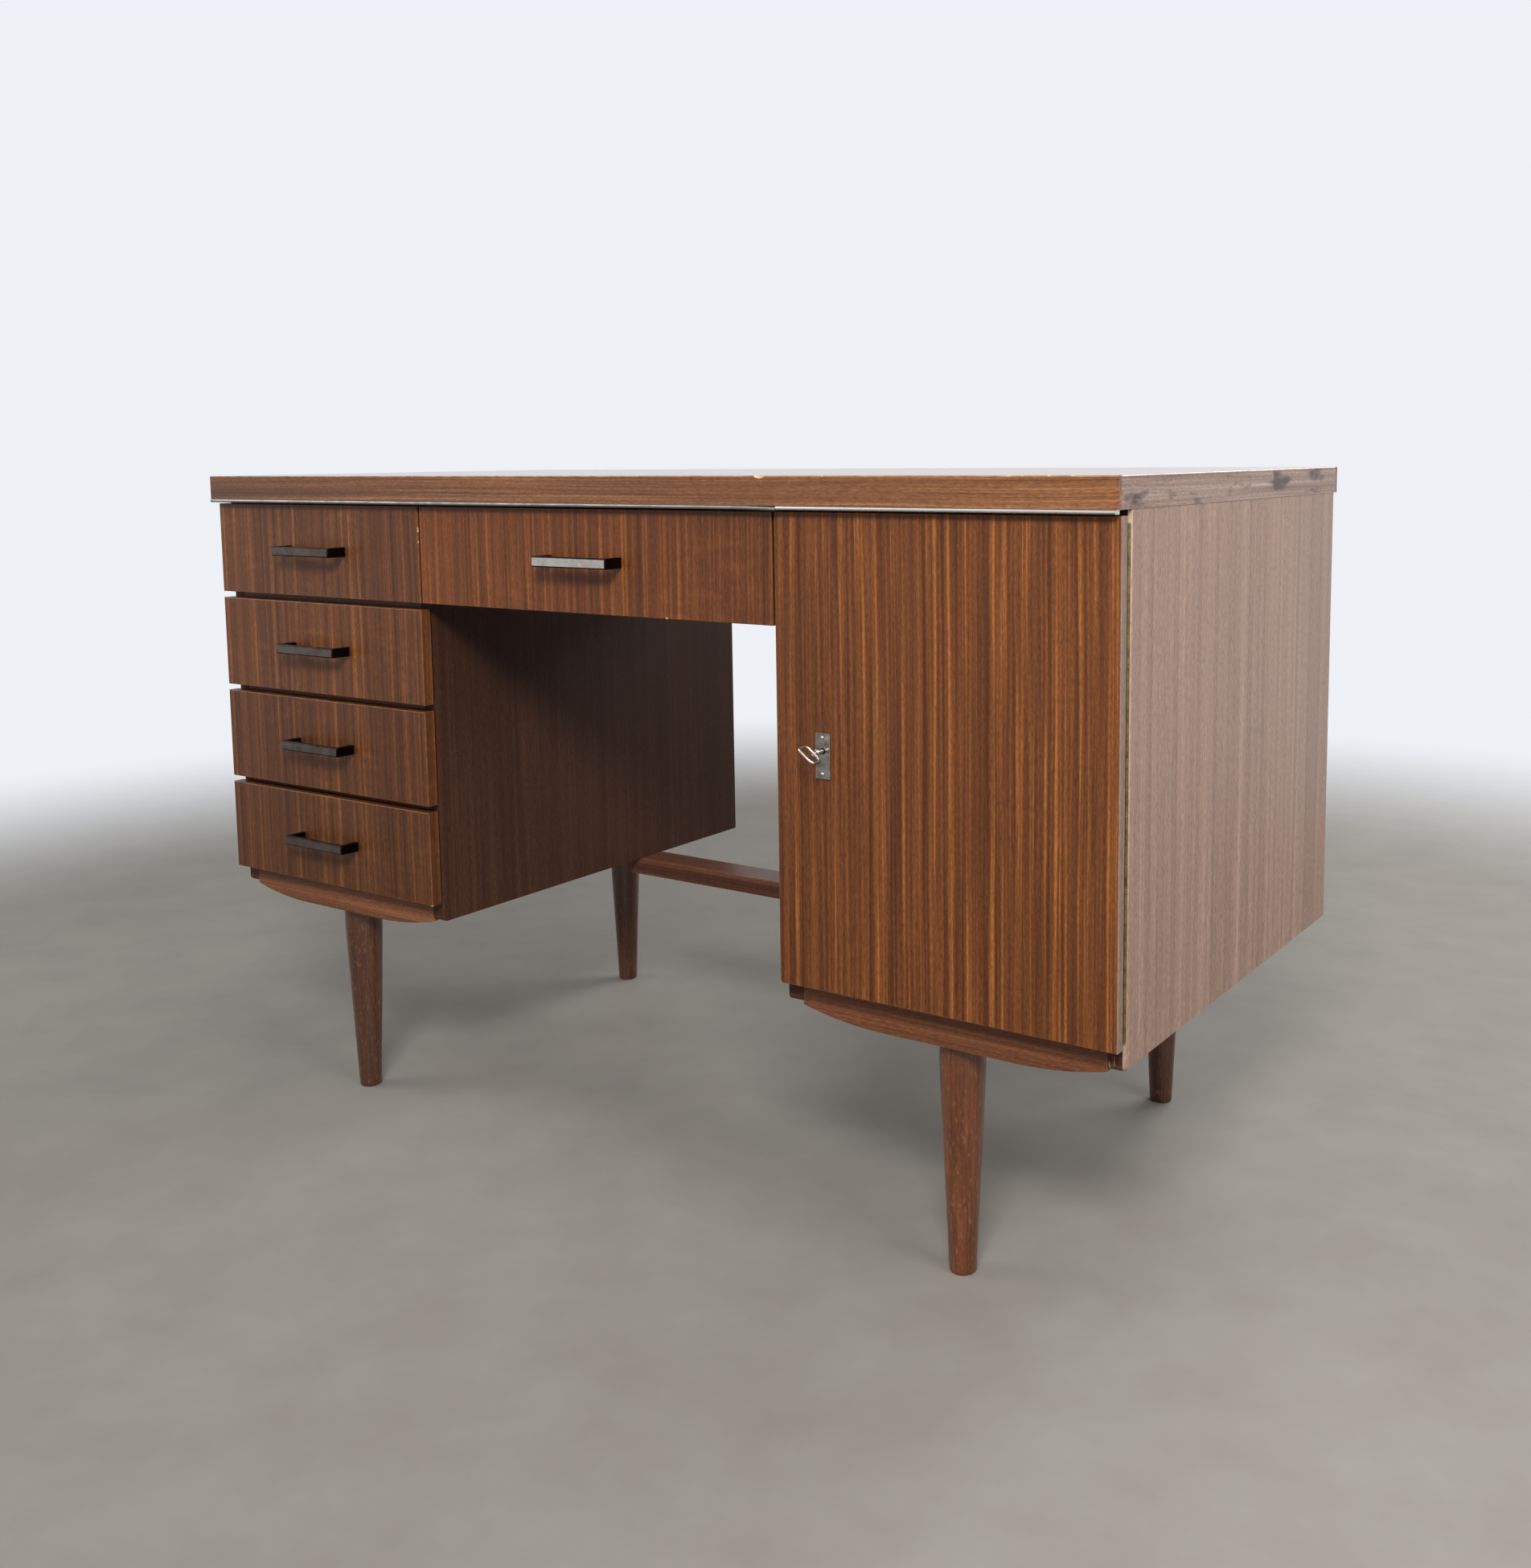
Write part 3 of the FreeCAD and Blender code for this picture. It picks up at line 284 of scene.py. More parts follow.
def worked_metal(name, clean, dulled, brushed_along, roughness, dull_share=0.5, lines_mm=1.0,
                 relief=0.08):
    """Metal with brushing lines, and patches dulled by handling."""
    material, tree = new_material(name)
    scale = [1 / (lines_mm * MM)] * 3
    if brushed_along:
        scale[ALONG[brushed_along]] = 1 / (40 * MM)
    where = add(tree, "ShaderNodeTexCoord").outputs["Object"]
    mapped = add(tree, "ShaderNodeMapping", {"Vector": where, "Scale": scale})
    lines = add(tree, "ShaderNodeTexNoise", {"Vector": mapped.outputs[0], "Scale": 1.0,
                                             "Detail": 3.0, "Roughness": 0.6}).outputs["Fac"]
    patch_map = add(tree, "ShaderNodeMapping",
                    {"Vector": where, "Scale": [WEAR_PER_METRE] * 3})
    patches = add(tree, "ShaderNodeTexNoise", {"Vector": patch_map.outputs[0], "Scale": 1.0,
                                               "Detail": 4.0, "Roughness": 0.6}).outputs["Fac"]
    mask = add(tree, "ShaderNodeMapRange", {"Value": patches, "From Min": 0.42,
                                            "From Max": 0.62, "To Max": dull_share})
    colour = add(tree, "ShaderNodeMix", {0: mask.outputs[0], 6: srgb(clean), 7: srgb(dulled)},
                 data_type="RGBA").outputs[2]
    varied = add(tree, "ShaderNodeMapRange",
                 {"Value": patches, "From Min": 0.35, "From Max": 0.65,
                  "To Min": roughness - 0.06, "To Max": roughness + 0.1})
    bump = add(tree, "ShaderNodeBump", {"Height": lines, "Strength": relief,
                                        "Distance": 0.04 * MM})
    shader = add(tree, "ShaderNodeBsdfPrincipled",
                 {"Base Color": colour, "Metallic": 1.0, "Roughness": varied.outputs[0],
                  "Normal": bump.outputs[0]})
    add(tree, "ShaderNodeOutputMaterial", {"Surface": shader.outputs[0]})
    return material


# Quarter-sliced sapele under satin lacquer: straight ribbons that go light and dark.
ribbon_sapele = lacquered_wood(
    "ribbon_sapele_satin_lacquer", ("45250f", "583419", "6a4021", "86562c"), "z",
    stripe_mm=10, lines_mm=3.2, contrast=1.0, figure=0.34, roughness=0.45, worn_tone="8c5c3a",
    shine=0.25, lacquer=0.03)
# The same veneer on the door, from a bolder flitch: brighter ribbons and hardly any mottle.
bold_sapele = lacquered_wood(
    "bold_ribbon_sapele_satin_lacquer", ("48250f", "5d3318", "73421e", "95592a"), "z",
    stripe_mm=8.5, lines_mm=2.8, contrast=1.2, figure=0.06, roughness=0.45, worn_tone="8c5c3a",
    shine=0.25, lacquer=0.03)
# Outer side veneer with a painted sheen: greyish pink, low-contrast tones stand for the pale room's
# reflection on faces that look sideways.
sheen_painted_sapele = lacquered_wood(
    "sapele_side_veneer_painted_sheen", ("6c564b", "786256", "816a5e", "8b7366"), "z",
    stripe_mm=11, lines_mm=3.2, contrast=1.0, figure=0.02, roughness=0.4, worn_tone="b0937f",
    worn_share=0.3)
# Kneehole side veneer, the same sapele in painted shade: tones lowered to a deep brown for the
# shade of the kneehole, with a dull, dry surface.
shade_painted_sapele = lacquered_wood(
    "sapele_kneehole_veneer_painted_shade", ("341d13", "3f261b", "482d20", "523526"), "z",
    stripe_mm=16, lines_mm=4, contrast=0.65, figure=0.03, roughness=0.5, worn_tone="7c563d",
    worn_share=0.35, shine=0.15, lacquer=0.0)
# Top veneer with its grain along the desk, under a full lacquer that mirrors the pale room.
top_sapele = lacquered_wood(
    "sapele_top_veneer_full_lacquer", ("4c2a17", "653d25", "784b2e", "8a5a39"), "x",
    stripe_mm=30, lines_mm=7, contrast=0.9, figure=0.04, roughness=0.22, worn_tone="b58a64",
    shine=0.5, lacquer=1.0, relief=0.02)
# Solid edging of the top: rift-cut, redder, with long dark lines.
edge_sapele = lacquered_wood(
    "solid_sapele_edging", ("50301c", "674128", "7b5034", "906344"), "x",
    stripe_mm=7, lines_mm=2.4, contrast=1.05, figure=0.05, roughness=0.38, worn_tone="c39b74",
    worn_share=0.6)
# The same edging on the ends, greyed as a painted sheen of the pale room like the outer sides, and
# marked by wet hands and ink.
end_sapele = lacquered_wood(
    "solid_sapele_end_edging", ("70564a", "8b7163", "9e897b", "b59f90"), "y",
    stripe_mm=9, lines_mm=3, contrast=1.1, figure=0.04, roughness=0.38, worn_tone="cdb090",
    worn_share=0.7, stains=0.9)
# Aprons, rails and stretcher: solid sapele along the desk, stained to a plain red brown.
apron_sapele = lacquered_wood(
    "stained_sapele_rail", ("4c2b19", "663b24", "7d4d31", "925f3f"), "x",
    stripe_mm=12, lines_mm=3.5, contrast=0.85, figure=0.04, roughness=0.46, worn_tone="9a7152",
    worn_share=0.4)
# Turned legs: beech stained to match, whose rays show as short pale flecks.
leg_beech = lacquered_wood(
    "stained_turned_beech", ("40210f", "532d18", "64391f", "7a4829"), "z",
    stripe_mm=14, lines_mm=3.5, contrast=0.6, figure=0.16, roughness=0.27, worn_tone="b07a50",
    worn_share=0.1, pore_depth=0.25, shine=0.6, lacquer=0.3, rays=0.28, relief=0.06)
# Cupboard floor and shelf: board faced with plain, pale red-brown veneer in wide soft bands.
inner_veneer = lacquered_wood(
    "plain_inner_veneer", ("6d4a34", "83593e", "936a4d", "a0785a"), "x",
    stripe_mm=40, lines_mm=9, contrast=0.7, figure=0.02, roughness=0.5, worn_tone="a98261")
# Drawer boxes and hidden rails: unfinished planed beech, pale straw with fine darker lines.
box_beech = bare_wood("planed_beech_box_wood", ("b08a62", "c29c73", "cfae86"), "y", 0.7)
rail_beech = bare_wood("planed_beech_cross_wood", ("a58059", "b8926a", "c6a47c"), "x", 0.7)
# Pressed fibre board: brown, smooth on the face, with fine fibres.
fibre_board = speckled("pressed_fibre_board", ("5d412c", "7c5a3e"), 1.6, 0.55)
# Raw wood where a splinter has been knocked off a lacquered edge: the palest tone of all.
split_wood = bare_wood("freshly_split_wood", ("b5966f", "cdb18c", "e0cbaa"), "z", 0.85)
# Extruded aluminium strip, polished along its length and dulled in patches.
strip_aluminium = worked_metal("polished_aluminium_strip", "d6d6d5", "b4b2b0", "x", 0.24,
                               relief=0.01)
# The longer left length is a plain darker grey, a painted reflection of darker surroundings, and
# rougher.
aluminium_dark_reflection = worked_metal("aluminium_strip_painted_dark_reflection", "8a8886", "6b6866", "x", 0.45,
                              relief=0.02)
# Bronzed steel pulls: near-black oxide, rubbed grey where fingers meet the bar.
dark_bronze = worked_metal("black_bronzed_steel", "1c1714", "0f0c0b", None, 0.42)
rubbed_bronze = worked_metal("rubbed_bronzed_face", "5e544e", "3a3330", "x", 0.42)
# The middle pull is used most, so its face is bare, brushed grey metal.
bare_bronze = worked_metal("brushed_bronze_face", "b5afa8", "857d77", "x", 0.4)
# Nickel-plated lock plate, darkened to a warm mid grey as a painted reflection of darker
# surroundings.
nickel_wear_and_dark_reflection = worked_metal("nickel_plate_wear_and_dark_reflection", "918b84", "5c5650", None, 0.28, 0.8,
                           relief=0.0)
# The key and the pins, kept bright by handling: warm silver.
key_nickel = worked_metal("nickel_key", "cfc9c0", "978f86", None, 0.22)
# Plain steel of the lock and fastenings, with an oily grey skin.
plain_steel = worked_metal("plain_rolled_steel", "8f8f8e", "5c5a58", None, 0.42)
# Old brass of the piano hinge, browned in patches.
aged_brass = worked_metal("aged_brass", "8a7546", "4a3d24", None, 0.42, 0.8)


# ---------------------------------------------------------------- pieces

def millimetres(node):
    """Lowest and highest corners of a CAD node at rest, in millimetres."""
    low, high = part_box(node)
    return low / MM, high / MM


def own_mesh(name, mesh, body, stands_for=()):
    """Put a finished mesh in the scene as a piece on its body."""
    piece = bpy.data.objects.new(name, mesh)
    bpy.context.scene.collection.objects.link(piece)
    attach(piece, body)
    if stands_for:
        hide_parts(*stands_for)
    return piece


def is_flat(face):
    """True for a face that looks straight along X, Y or Z."""
    return max(abs(c) for c in face.normal) > FLAT


def finish_shape(shape):
    """Smooth the curved faces, keep flat faces flat, and keep sharp edges sharp."""
    shape.normal_update()
    for face in shape.faces:
        face.smooth = not is_flat(face)
    for edge in shape.edges:
        edge.smooth = not (len(edge.link_faces) == 2
                           and edge.calc_face_angle() > SMOOTH_ANGLE)


def label_grain(mesh, shift, tint, worn_edges=True, right_tint=None):
    """Write where the board was cut from, its tone with any painted light and shade, and which
    faces are its worn edges.

    The tone and painted light go evenly from tint at the left end to right_tint, if given, at the
    right end.
    """
    count = len(mesh.vertices)
    mesh.attributes.new("grain_shift", "FLOAT_VECTOR", "POINT").data.foreach_set(
        "vector", list(shift) * count)
    places = [vert.co.x for vert in mesh.vertices]
    left, length = min(places), max(places) - min(places)
    tones = []
    for x in places:
        share = (x - left) / length
        tones += [a + (b - a) * share for a, b in zip(tint, right_tint or tint)] + [1.0]
    mesh.attributes.new("tint", "FLOAT_COLOR", "POINT").data.foreach_set("color", tones)
    worn = [
        1.0 if worn_edges and not is_flat(face) else 0.0
        for face in mesh.polygons
    ]
    mesh.attributes.new("worn", "FLOAT", "FACE").data.foreach_set("value", worn)


def eased_copy(node, ease_mm, segments=2, shortest_mm=2.0):
    """A merged copy of a CAD node as a bmesh, with its long sharp edges rounded."""
    shape = bmesh.new()
    shape.from_mesh(frame["nodes"][node].data)
    bmesh.ops.remove_doubles(shape, verts=shape.verts, dist=MERGE)
    bmesh.ops.dissolve_limit(shape, angle_limit=ONE_FLAT, verts=shape.verts, edges=shape.edges)
    if ease_mm:
        sharp = [
            edge for edge in shape.edges
            if len(edge.link_faces) == 2 and edge.calc_face_angle() > EASED_ANGLE
            and edge.calc_length() > shortest_mm * MM
        ]
        bmesh.ops.bevel(shape, geom=sharp, offset=ease_mm * MM, offset_type="OFFSET",
                        segments=segments, profile=0.5, affect="EDGES", clamp_overlap=True)
    return shape


def to_mesh(shape, name, materials):
    """Turn a bmesh into a mesh with these materials, and free it."""
    mesh = bpy.data.meshes.new(name)
    shape.to_mesh(mesh)
    shape.free()
    for material in materials:
        mesh.materials.append(material)
    return mesh


# Chips along the front of the boards, in millimetres. Each is near a corner of the board's
# front: the corner, the way from there to the chip's middle, and the chip's half sizes.
NICKS = [("right", "top", (x, 0.0, 0.1), (2.4, 0.9, 0.8)) for x in (-101.0, -88.0, -63.0, -41.0)]
CHIPS = {
    "drawer_1_front": [("right", "top", (0.1, 0.2, -26.2), (1.1, 1.6, 3.4)),
                       ("right", "top", (0.1, 0.2, -39.7), (0.8, 1.2, 1.6))],
    "drawer_4_front": [("right", "bottom", (-0.1, 0.2, 0.3), (3.4, 1.5, 1.5))],
    "centre_drawer_front": [("right", "bottom", (-130.1, 0.0, 0.3), (1.7, 1.2, 2.4)),
                            ("left", "bottom", (155.3, 0.0, -0.1), (1.2, 1.0, 0.8))],
    "door_panel": [("left", "bottom", (-0.1, 0.0, 0.7), (1.6, 1.2, 2.2))],
    "desktop_front_lipping": [("right", "top", (-362.0, 0.2, 0.2), (6.4, 2.2, 3.6)),
                              ("right", "top", (-291.0, 0.0, 0.0), (1.4, 1.0, 0.9)),
                              *NICKS],
    "right_apron": [("right", "bottom", (-3.0, 0.0, 0.9), (3.0, 1.0, 1.6)),
                    ("right", "bottom", (-11.5, 0.0, 0.3), (2.2, 0.8, 1.0))],
    "right_pedestal_outer_side": [("left", "bottom", (2.0, 0.4, 5.3), (0.6, 1.6, 4.2)),
                                  ("left", "bottom", (6.5, 0.2, 8.3), (0.5, 1.0, 4.6))],
}
JAG = 0.22                        # how far a chip's wall strays from a smooth hollow


def chipped(mesh, node):
    """Knock splinters off a board's edges; the broken faces take the board's second material."""
    rough = random.Random(len(node))
    low, high = millimetres(node)
    cutters = bmesh.new()
    for side, edge, offset, half_size in CHIPS[node]:
        corner = Vector((low.x if side == "left" else high.x, low.y,
                         low.z if edge == "bottom" else high.z))
        middle = (corner + Vector(offset)) * MM
        made = bmesh.ops.create_icosphere(cutters, subdivisions=2, radius=1.0)
        for vert in made["verts"]:
            jag = 1 + rough.uniform(-JAG, JAG)
            vert.co = middle + Vector(half_size) * vert.co * jag * MM
    cutter_mesh = to_mesh(cutters, "splinters", [mesh.materials[1]])
    cutter = bpy.data.objects.new("splinters", cutter_mesh)
    board = bpy.data.objects.new("board_being_chipped", mesh)
    for thing in (cutter, board):
        bpy.context.scene.collection.objects.link(thing)
    knock = board.modifiers.new("knock", "BOOLEAN")
    knock.object = cutter
    knock.solver = "EXACT"
    knock.material_mode = "TRANSFER"
    graph = bpy.context.evaluated_depsgraph_get()
    result = bpy.data.meshes.new_from_object(board.evaluated_get(graph), depsgraph=graph)
    for thing in (cutter, board):
        bpy.data.objects.remove(thing)
    return result


draws = random.Random(GRAIN_SEED)
MOSTLY_SIDEWAYS = 0.6             # takes in the eased edges beside a face


def cut_from():
    """A new place in the tree for a board, in metres along each axis."""
    return [draws.uniform(-4, 4) for _ in range(3)]


def dress(node, material, ease_mm=0.5, tint=(1, 1, 1), segments=2,
          worn_edges=True, shift=None, face_finish=None, right_tint=None):
    """Replace one CAD node with its eased, chipped and finished copy.

    shift is where in the tree the board was cut from. face_finish is another finish, which paints
    a sheen, and the way along X, 1 or -1, that the faces it covers look.
    """
    shape = eased_copy(node, ease_mm, segments)
    finish_shape(shape)
    finishes = [material, split_wood]
    if face_finish:
        finishes.append(face_finish[0])
        for face in shape.faces:
            if face.normal.x * face_finish[1] > MOSTLY_SIDEWAYS:
                face.material_index = 2
    mesh = to_mesh(shape, f"{node}_finished", finishes)
    if node in CHIPS:
        mesh = chipped(mesh, node)
    label_grain(mesh, shift or cut_from(), tint, worn_edges, right_tint)
    return own_mesh(f"{node}_finished", mesh, BODY_OF[node], [node])


EDGE_LIGHT_TINT = (1.5, 1.45, 1.4)      # painted light: lightens the outer sides, their front edges among them
# Tone of each front's veneer at its left and right ends, with painted light in it: the lower fronts
# are darker as painted shade, and each front's ends differ as painted sheen.
FRONT_TONES_AND_LIGHT = {"drawer_1": ((1.14, 1.08, 1.14), (0.94, 0.86, 0.87)),
               "drawer_2": ((1.1, 0.99, 0.94), (1.03, 0.93, 0.9)),
               "drawer_3": ((0.88, 0.76, 0.7), (0.86, 0.75, 0.7)),
               "drawer_4": ((0.82, 0.75, 0.73), (0.81, 0.74, 0.72)),
               "centre_drawer": ((1.22, 1.0, 0.83), (0.94, 0.8, 0.78))}
stack_shift = cut_from()          # one sheet of veneer runs down the four fronts of the stack
for drawer in DRAWERS:
    left_tone, right_tone = FRONT_TONES_AND_LIGHT[drawer]
    dress(f"{drawer}_front", ribbon_sapele, ease_mm=0.4,
          tint=left_tone, right_tint=right_tone,
          shift=None if drawer == "centre_drawer" else stack_shift)
# the door's right edge looks sideways too and takes the painted sheen
dress("door_panel", bold_sapele, ease_mm=0.4, face_finish=(sheen_painted_sapele, 1))

dress("desktop_panel", top_sapele, ease_mm=0.0, worn_edges=False)
# the front edging goes from darker at the left to lighter at the right as painted light
dress("desktop_front_lipping", edge_sapele, ease_mm=0.3,
      tint=(0.86, 0.84, 0.88), right_tint=(1.34, 1.38, 1.3))
dress("desktop_rear_lipping", edge_sapele, ease_mm=0.3)
dress("desktop_end_lippings", end_sapele, ease_mm=0.3)

# Outer sides: the face that looks sideways takes the painted sheen, the rest the shade-painted
# veneer.
for side, outward in (("left", -1), ("right", 1)):
    dress(f"{side}_pedestal_outer_side", shade_painted_sapele, ease_mm=0.5,
          tint=EDGE_LIGHT_TINT, face_finish=(sheen_painted_sapele, outward))
    # the kneehole walls take the veneer darkened as painted shade
    dress(f"{side}_pedestal_inner_side", shade_painted_sapele, ease_mm=0.5)
    dress(f"{side}_apron", apron_sapele, ease_mm=0.7, tint=(1.27, 1.3, 1.27))
    dress(f"{side}_pedestal_floor", inner_veneer, ease_mm=0.3)
# the stretcher is darkened and cooled as painted shade under the desk
dress("kneehole_stretcher", apron_sapele, ease_mm=1.2, segments=3,
      tint=(0.62, 0.6, 0.74))
dress("drawer_divider_rails", apron_sapele, ease_mm=0.4)
dress("cupboard_shelf", inner_veneer, ease_mm=0.4)

# Painted light on the legs: the front left and rear legs darkened and cooled as painted shade under
# the desk, the front right one warmed and lightened as painted light.
LEG_LIGHT_AND_SHADE = {"front_left_leg": (0.74, 0.76, 0.86), "front_right_leg": (1.16, 0.98, 0.74),
             "rear_left_leg": (0.8, 0.78, 0.86), "rear_right_leg": (0.8, 0.78, 0.86)}
for leg, leg_light_and_shade in LEG_LIGHT_AND_SHADE.items():
    dress(leg, leg_beech, ease_mm=0, tint=leg_light_and_shade, worn_edges=False)

dress("pedestal_top_rails", rail_beech, ease_mm=0.4, worn_edges=False)
for node in ("drawer_runners", "centre_drawer_runners"):
    dress(node, box_beech, ease_mm=0.4, worn_edges=False)
dress("pedestal_backs", fibre_board, ease_mm=0.2, worn_edges=False)
for drawer in DRAWERS:
    dress(f"{drawer}_sides", box_beech, ease_mm=0.5, worn_edges=False)
    dress(f"{drawer}_back", rail_beech, ease_mm=0.5, worn_edges=False)
    dress(f"{drawer}_bottom", fibre_board, ease_mm=0.0, worn_edges=False)


def dress_pull(node, face_material):
    """Bar pull: oxide-black metal whose front face is rubbed paler."""
    shape = eased_copy(node, ease_mm=0.35, shortest_mm=1.0)
    finish_shape(shape)
    front = min(face.calc_center_median().y for face in shape.faces)
    for face in shape.faces:
        if is_flat(face) and face.calc_center_median().y < front + 0.1 * MM:
            face.material_index = 1
    mesh = to_mesh(shape, f"{node}_finished", [dark_bronze, face_material])
    return own_mesh(f"{node}_finished", mesh, BODY_OF[node], [node])


for drawer in DRAWERS:
    dress_pull(f"{drawer}_handle", bare_bronze if drawer == "centre_drawer" else rubbed_bronze)


def strip_length(shape, section, steps, drop_at):
    """One closed length of the strip: its section at each step along X, lowered by drop_at(x)."""
    rings = [[shape.verts.new((x, y, z - drop_at(x))) for y, z in section] for x in steps]
    for before, after in zip(rings, rings[1:]):
        for i in range(len(section)):
            j = (i + 1) % len(section)
            shape.faces.new((before[i], before[j], after[j], after[i]))
    shape.faces.new(list(reversed(rings[0])))
    shape.faces.new(rings[-1])


def build_strip():
    """Bright strip in two lengths; the left one has sprung loose and curls down at its end."""
    low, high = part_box("front_trim_strip")
    past_door_edge = 9.3 * MM
    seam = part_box("door_panel")[0].x + past_door_edge     # where the two lengths meet
    gap = 0.4 * MM
    curl_length = 56 * MM
    curl_drop = 1.0 * MM
    curl_steps = 8
    arc_steps = 10
    radius = (high.z - low.z) / 2
    arc = [
        (low.y + radius - radius * math.sin(math.pi * i / arc_steps),
         low.z + radius + radius * math.cos(math.pi * i / arc_steps))
        for i in range(arc_steps + 1)
    ]
    section = [(high.y, high.z), *arc, (high.y, low.z)]
    loose_end = seam - gap / 2
    curl = [loose_end - curl_length * (1 - i / curl_steps) for i in range(curl_steps)]

    def curled(x):
        """How far the loose end has dropped at x."""
        return curl_drop * max(0.0, 1 - (loose_end - x) / curl_length) ** 2

    shape = bmesh.new()
    strip_length(shape, section, [low.x, *curl, loose_end], curled)
    strip_length(shape, section, [seam + gap / 2, high.x], lambda x: 0.0)
    bmesh.ops.recalc_face_normals(shape, faces=shape.faces)
    finish_shape(shape)
    for face in shape.faces:
        face.smooth = True
        # the left length takes the darker metal of its painted reflection
        face.material_index = 0 if face.calc_center_median().x > seam else 1
    mesh = to_mesh(shape, "front_trim_strip_finished", [strip_aluminium, aluminium_dark_reflection])
    own_mesh("front_trim_strip_finished", mesh, "carcass",
             ["front_trim_strip"])


build_strip()


def wire_loop(points, radius):
    """A round wire bent through the points and closed, as a mesh at the origin."""
    curve = bpy.data.curves.new("wire", "CURVE")
    curve.dimensions = "3D"
    curve.bevel_depth = radius
    curve.bevel_resolution = 4
    spline = curve.splines.new("POLY")
    spline.points.add(len(points) - 1)
    for point, place in zip(spline.points, points):
        point.co = (*place, 1.0)
    spline.use_cyclic_u = True
    wire = bpy.data.objects.new("wire", curve)
    bpy.context.scene.collection.objects.link(wire)
    graph = bpy.context.evaluated_depsgraph_get()
    mesh = bpy.data.meshes.new_from_object(wire.evaluated_get(graph), depsgraph=graph)
    bpy.data.objects.remove(wire)
    return mesh


# The key, in millimetres.
WIRE_RADIUS = 1.45
BOW_WIDTH = 24
BOW_LENGTH = 17.5
BOW_CORNER = 5.2
BOW_TILT = math.radians(38)
SHAFT_SIDES = 24
# Its turned shaft with two collars: the way from the bow's tip, and the radius there.
SHAFT = ((15.2, 0), (15.2, 2.3), (16.6, 3.0), (17.6, 3.0), (18.0, 2.5), (19.0, 2.5),
         (19.4, 3.0), (20.6, 3.0), (21.2, 2.3), (50.4, 2.3), (51.0, 1.7), (51.0, 0))


def bow_outline():
    """Middle line of the bow's wire: a rectangle with round corners, across and along the key."""
    half = BOW_WIDTH / 2 - WIRE_RADIUS
    length = BOW_LENGTH - 2 * WIRE_RADIUS
    near, far = BOW_CORNER, length - BOW_CORNER
    side = half - BOW_CORNER
    return [
        (across + BOW_CORNER * math.cos(math.radians(start + 15 * step)),
         along + BOW_CORNER * math.sin(math.radians(start + 15 * step)))
        for across, along, start in ((side, near, -90), (side, far, 0),
                                     (-side, far, 90), (-side, near, 180))
        for step in range(7)
    ]


def build_key():
    """Key: a bow of round wire and a turned shaft with its collars."""
    low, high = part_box("door_key")
    centre_x, centre_z = (low.x + high.x) / 2, (low.z + high.z) / 2
    tip = low.y
    points = [
        (centre_x + across * math.cos(BOW_TILT) * MM, tip + (WIRE_RADIUS + along) * MM,
         centre_z - across * math.sin(BOW_TILT) * MM)
        for across, along in bow_outline()
    ]
    shape = bmesh.new()
    shape.from_mesh(wire_loop(points, WIRE_RADIUS * MM))
    rings = []
    for along, radius in SHAFT:
        y = tip + along * MM
        if radius == 0:
            rings.append([shape.verts.new((centre_x, y, centre_z))])
            continue
        rings.append([
            shape.verts.new((centre_x + radius * MM * math.cos(math.tau * i / SHAFT_SIDES), y,
                             centre_z + radius * MM * math.sin(math.tau * i / SHAFT_SIDES)))
            for i in range(SHAFT_SIDES)
        ])
    for before, after in zip(rings, rings[1:]):
        for i in range(SHAFT_SIDES):
            j = (i + 1) % SHAFT_SIDES
            if len(before) == 1:
                shape.faces.new((before[0], after[j], after[i]))
            elif len(after) == 1:
                shape.faces.new((before[i], before[j], after[0]))
            else:
                shape.faces.new((before[i], before[j], after[j], after[i]))
    bmesh.ops.recalc_face_normals(shape, faces=shape.faces)
    finish_shape(shape)
    for face in shape.faces:
        face.smooth = True
    mesh = to_mesh(shape, "door_key_finished", [key_nickel])
    own_mesh("door_key_finished", mesh, "key", ["door_key"])


build_key()


def build_lock_plate():
    """Thin stamped plate with an eased rim."""
    shape = eased_copy("lock_plate", ease_mm=0.35, shortest_mm=3.0)
    finish_shape(shape)
    mesh = to_mesh(shape, "lock_plate_finished", [nickel_wear_and_dark_reflection])
    own_mesh("lock_plate_finished", mesh, "door", ["lock_plate"])


build_lock_plate()

# These show their CAD mesh as it is, in their own metals.
for node, material in (("lock_case", plain_steel), ("lock_bolt", plain_steel),
                       ("strike_plate", plain_steel), ("leg_bolts", plain_steel),
                       ("shelf_pins", plain_steel), ("hinge_side_leaf", aged_brass),
                       ("hinge_door_leaf", aged_brass), ("hinge_pin", aged_brass)):
    cad_mesh = frame["nodes"][node].data
    cad_mesh.materials.clear()
    cad_mesh.materials.append(material)


# ---------------------------------------------------------------- fastenings

HEAD_SIDES = 12
# A head's rounded flank: share of its radius, and share of its height.
DOME = ((1.0, 0.0), (0.97, 0.35), (0.8, 0.75), (0.45, 0.95))


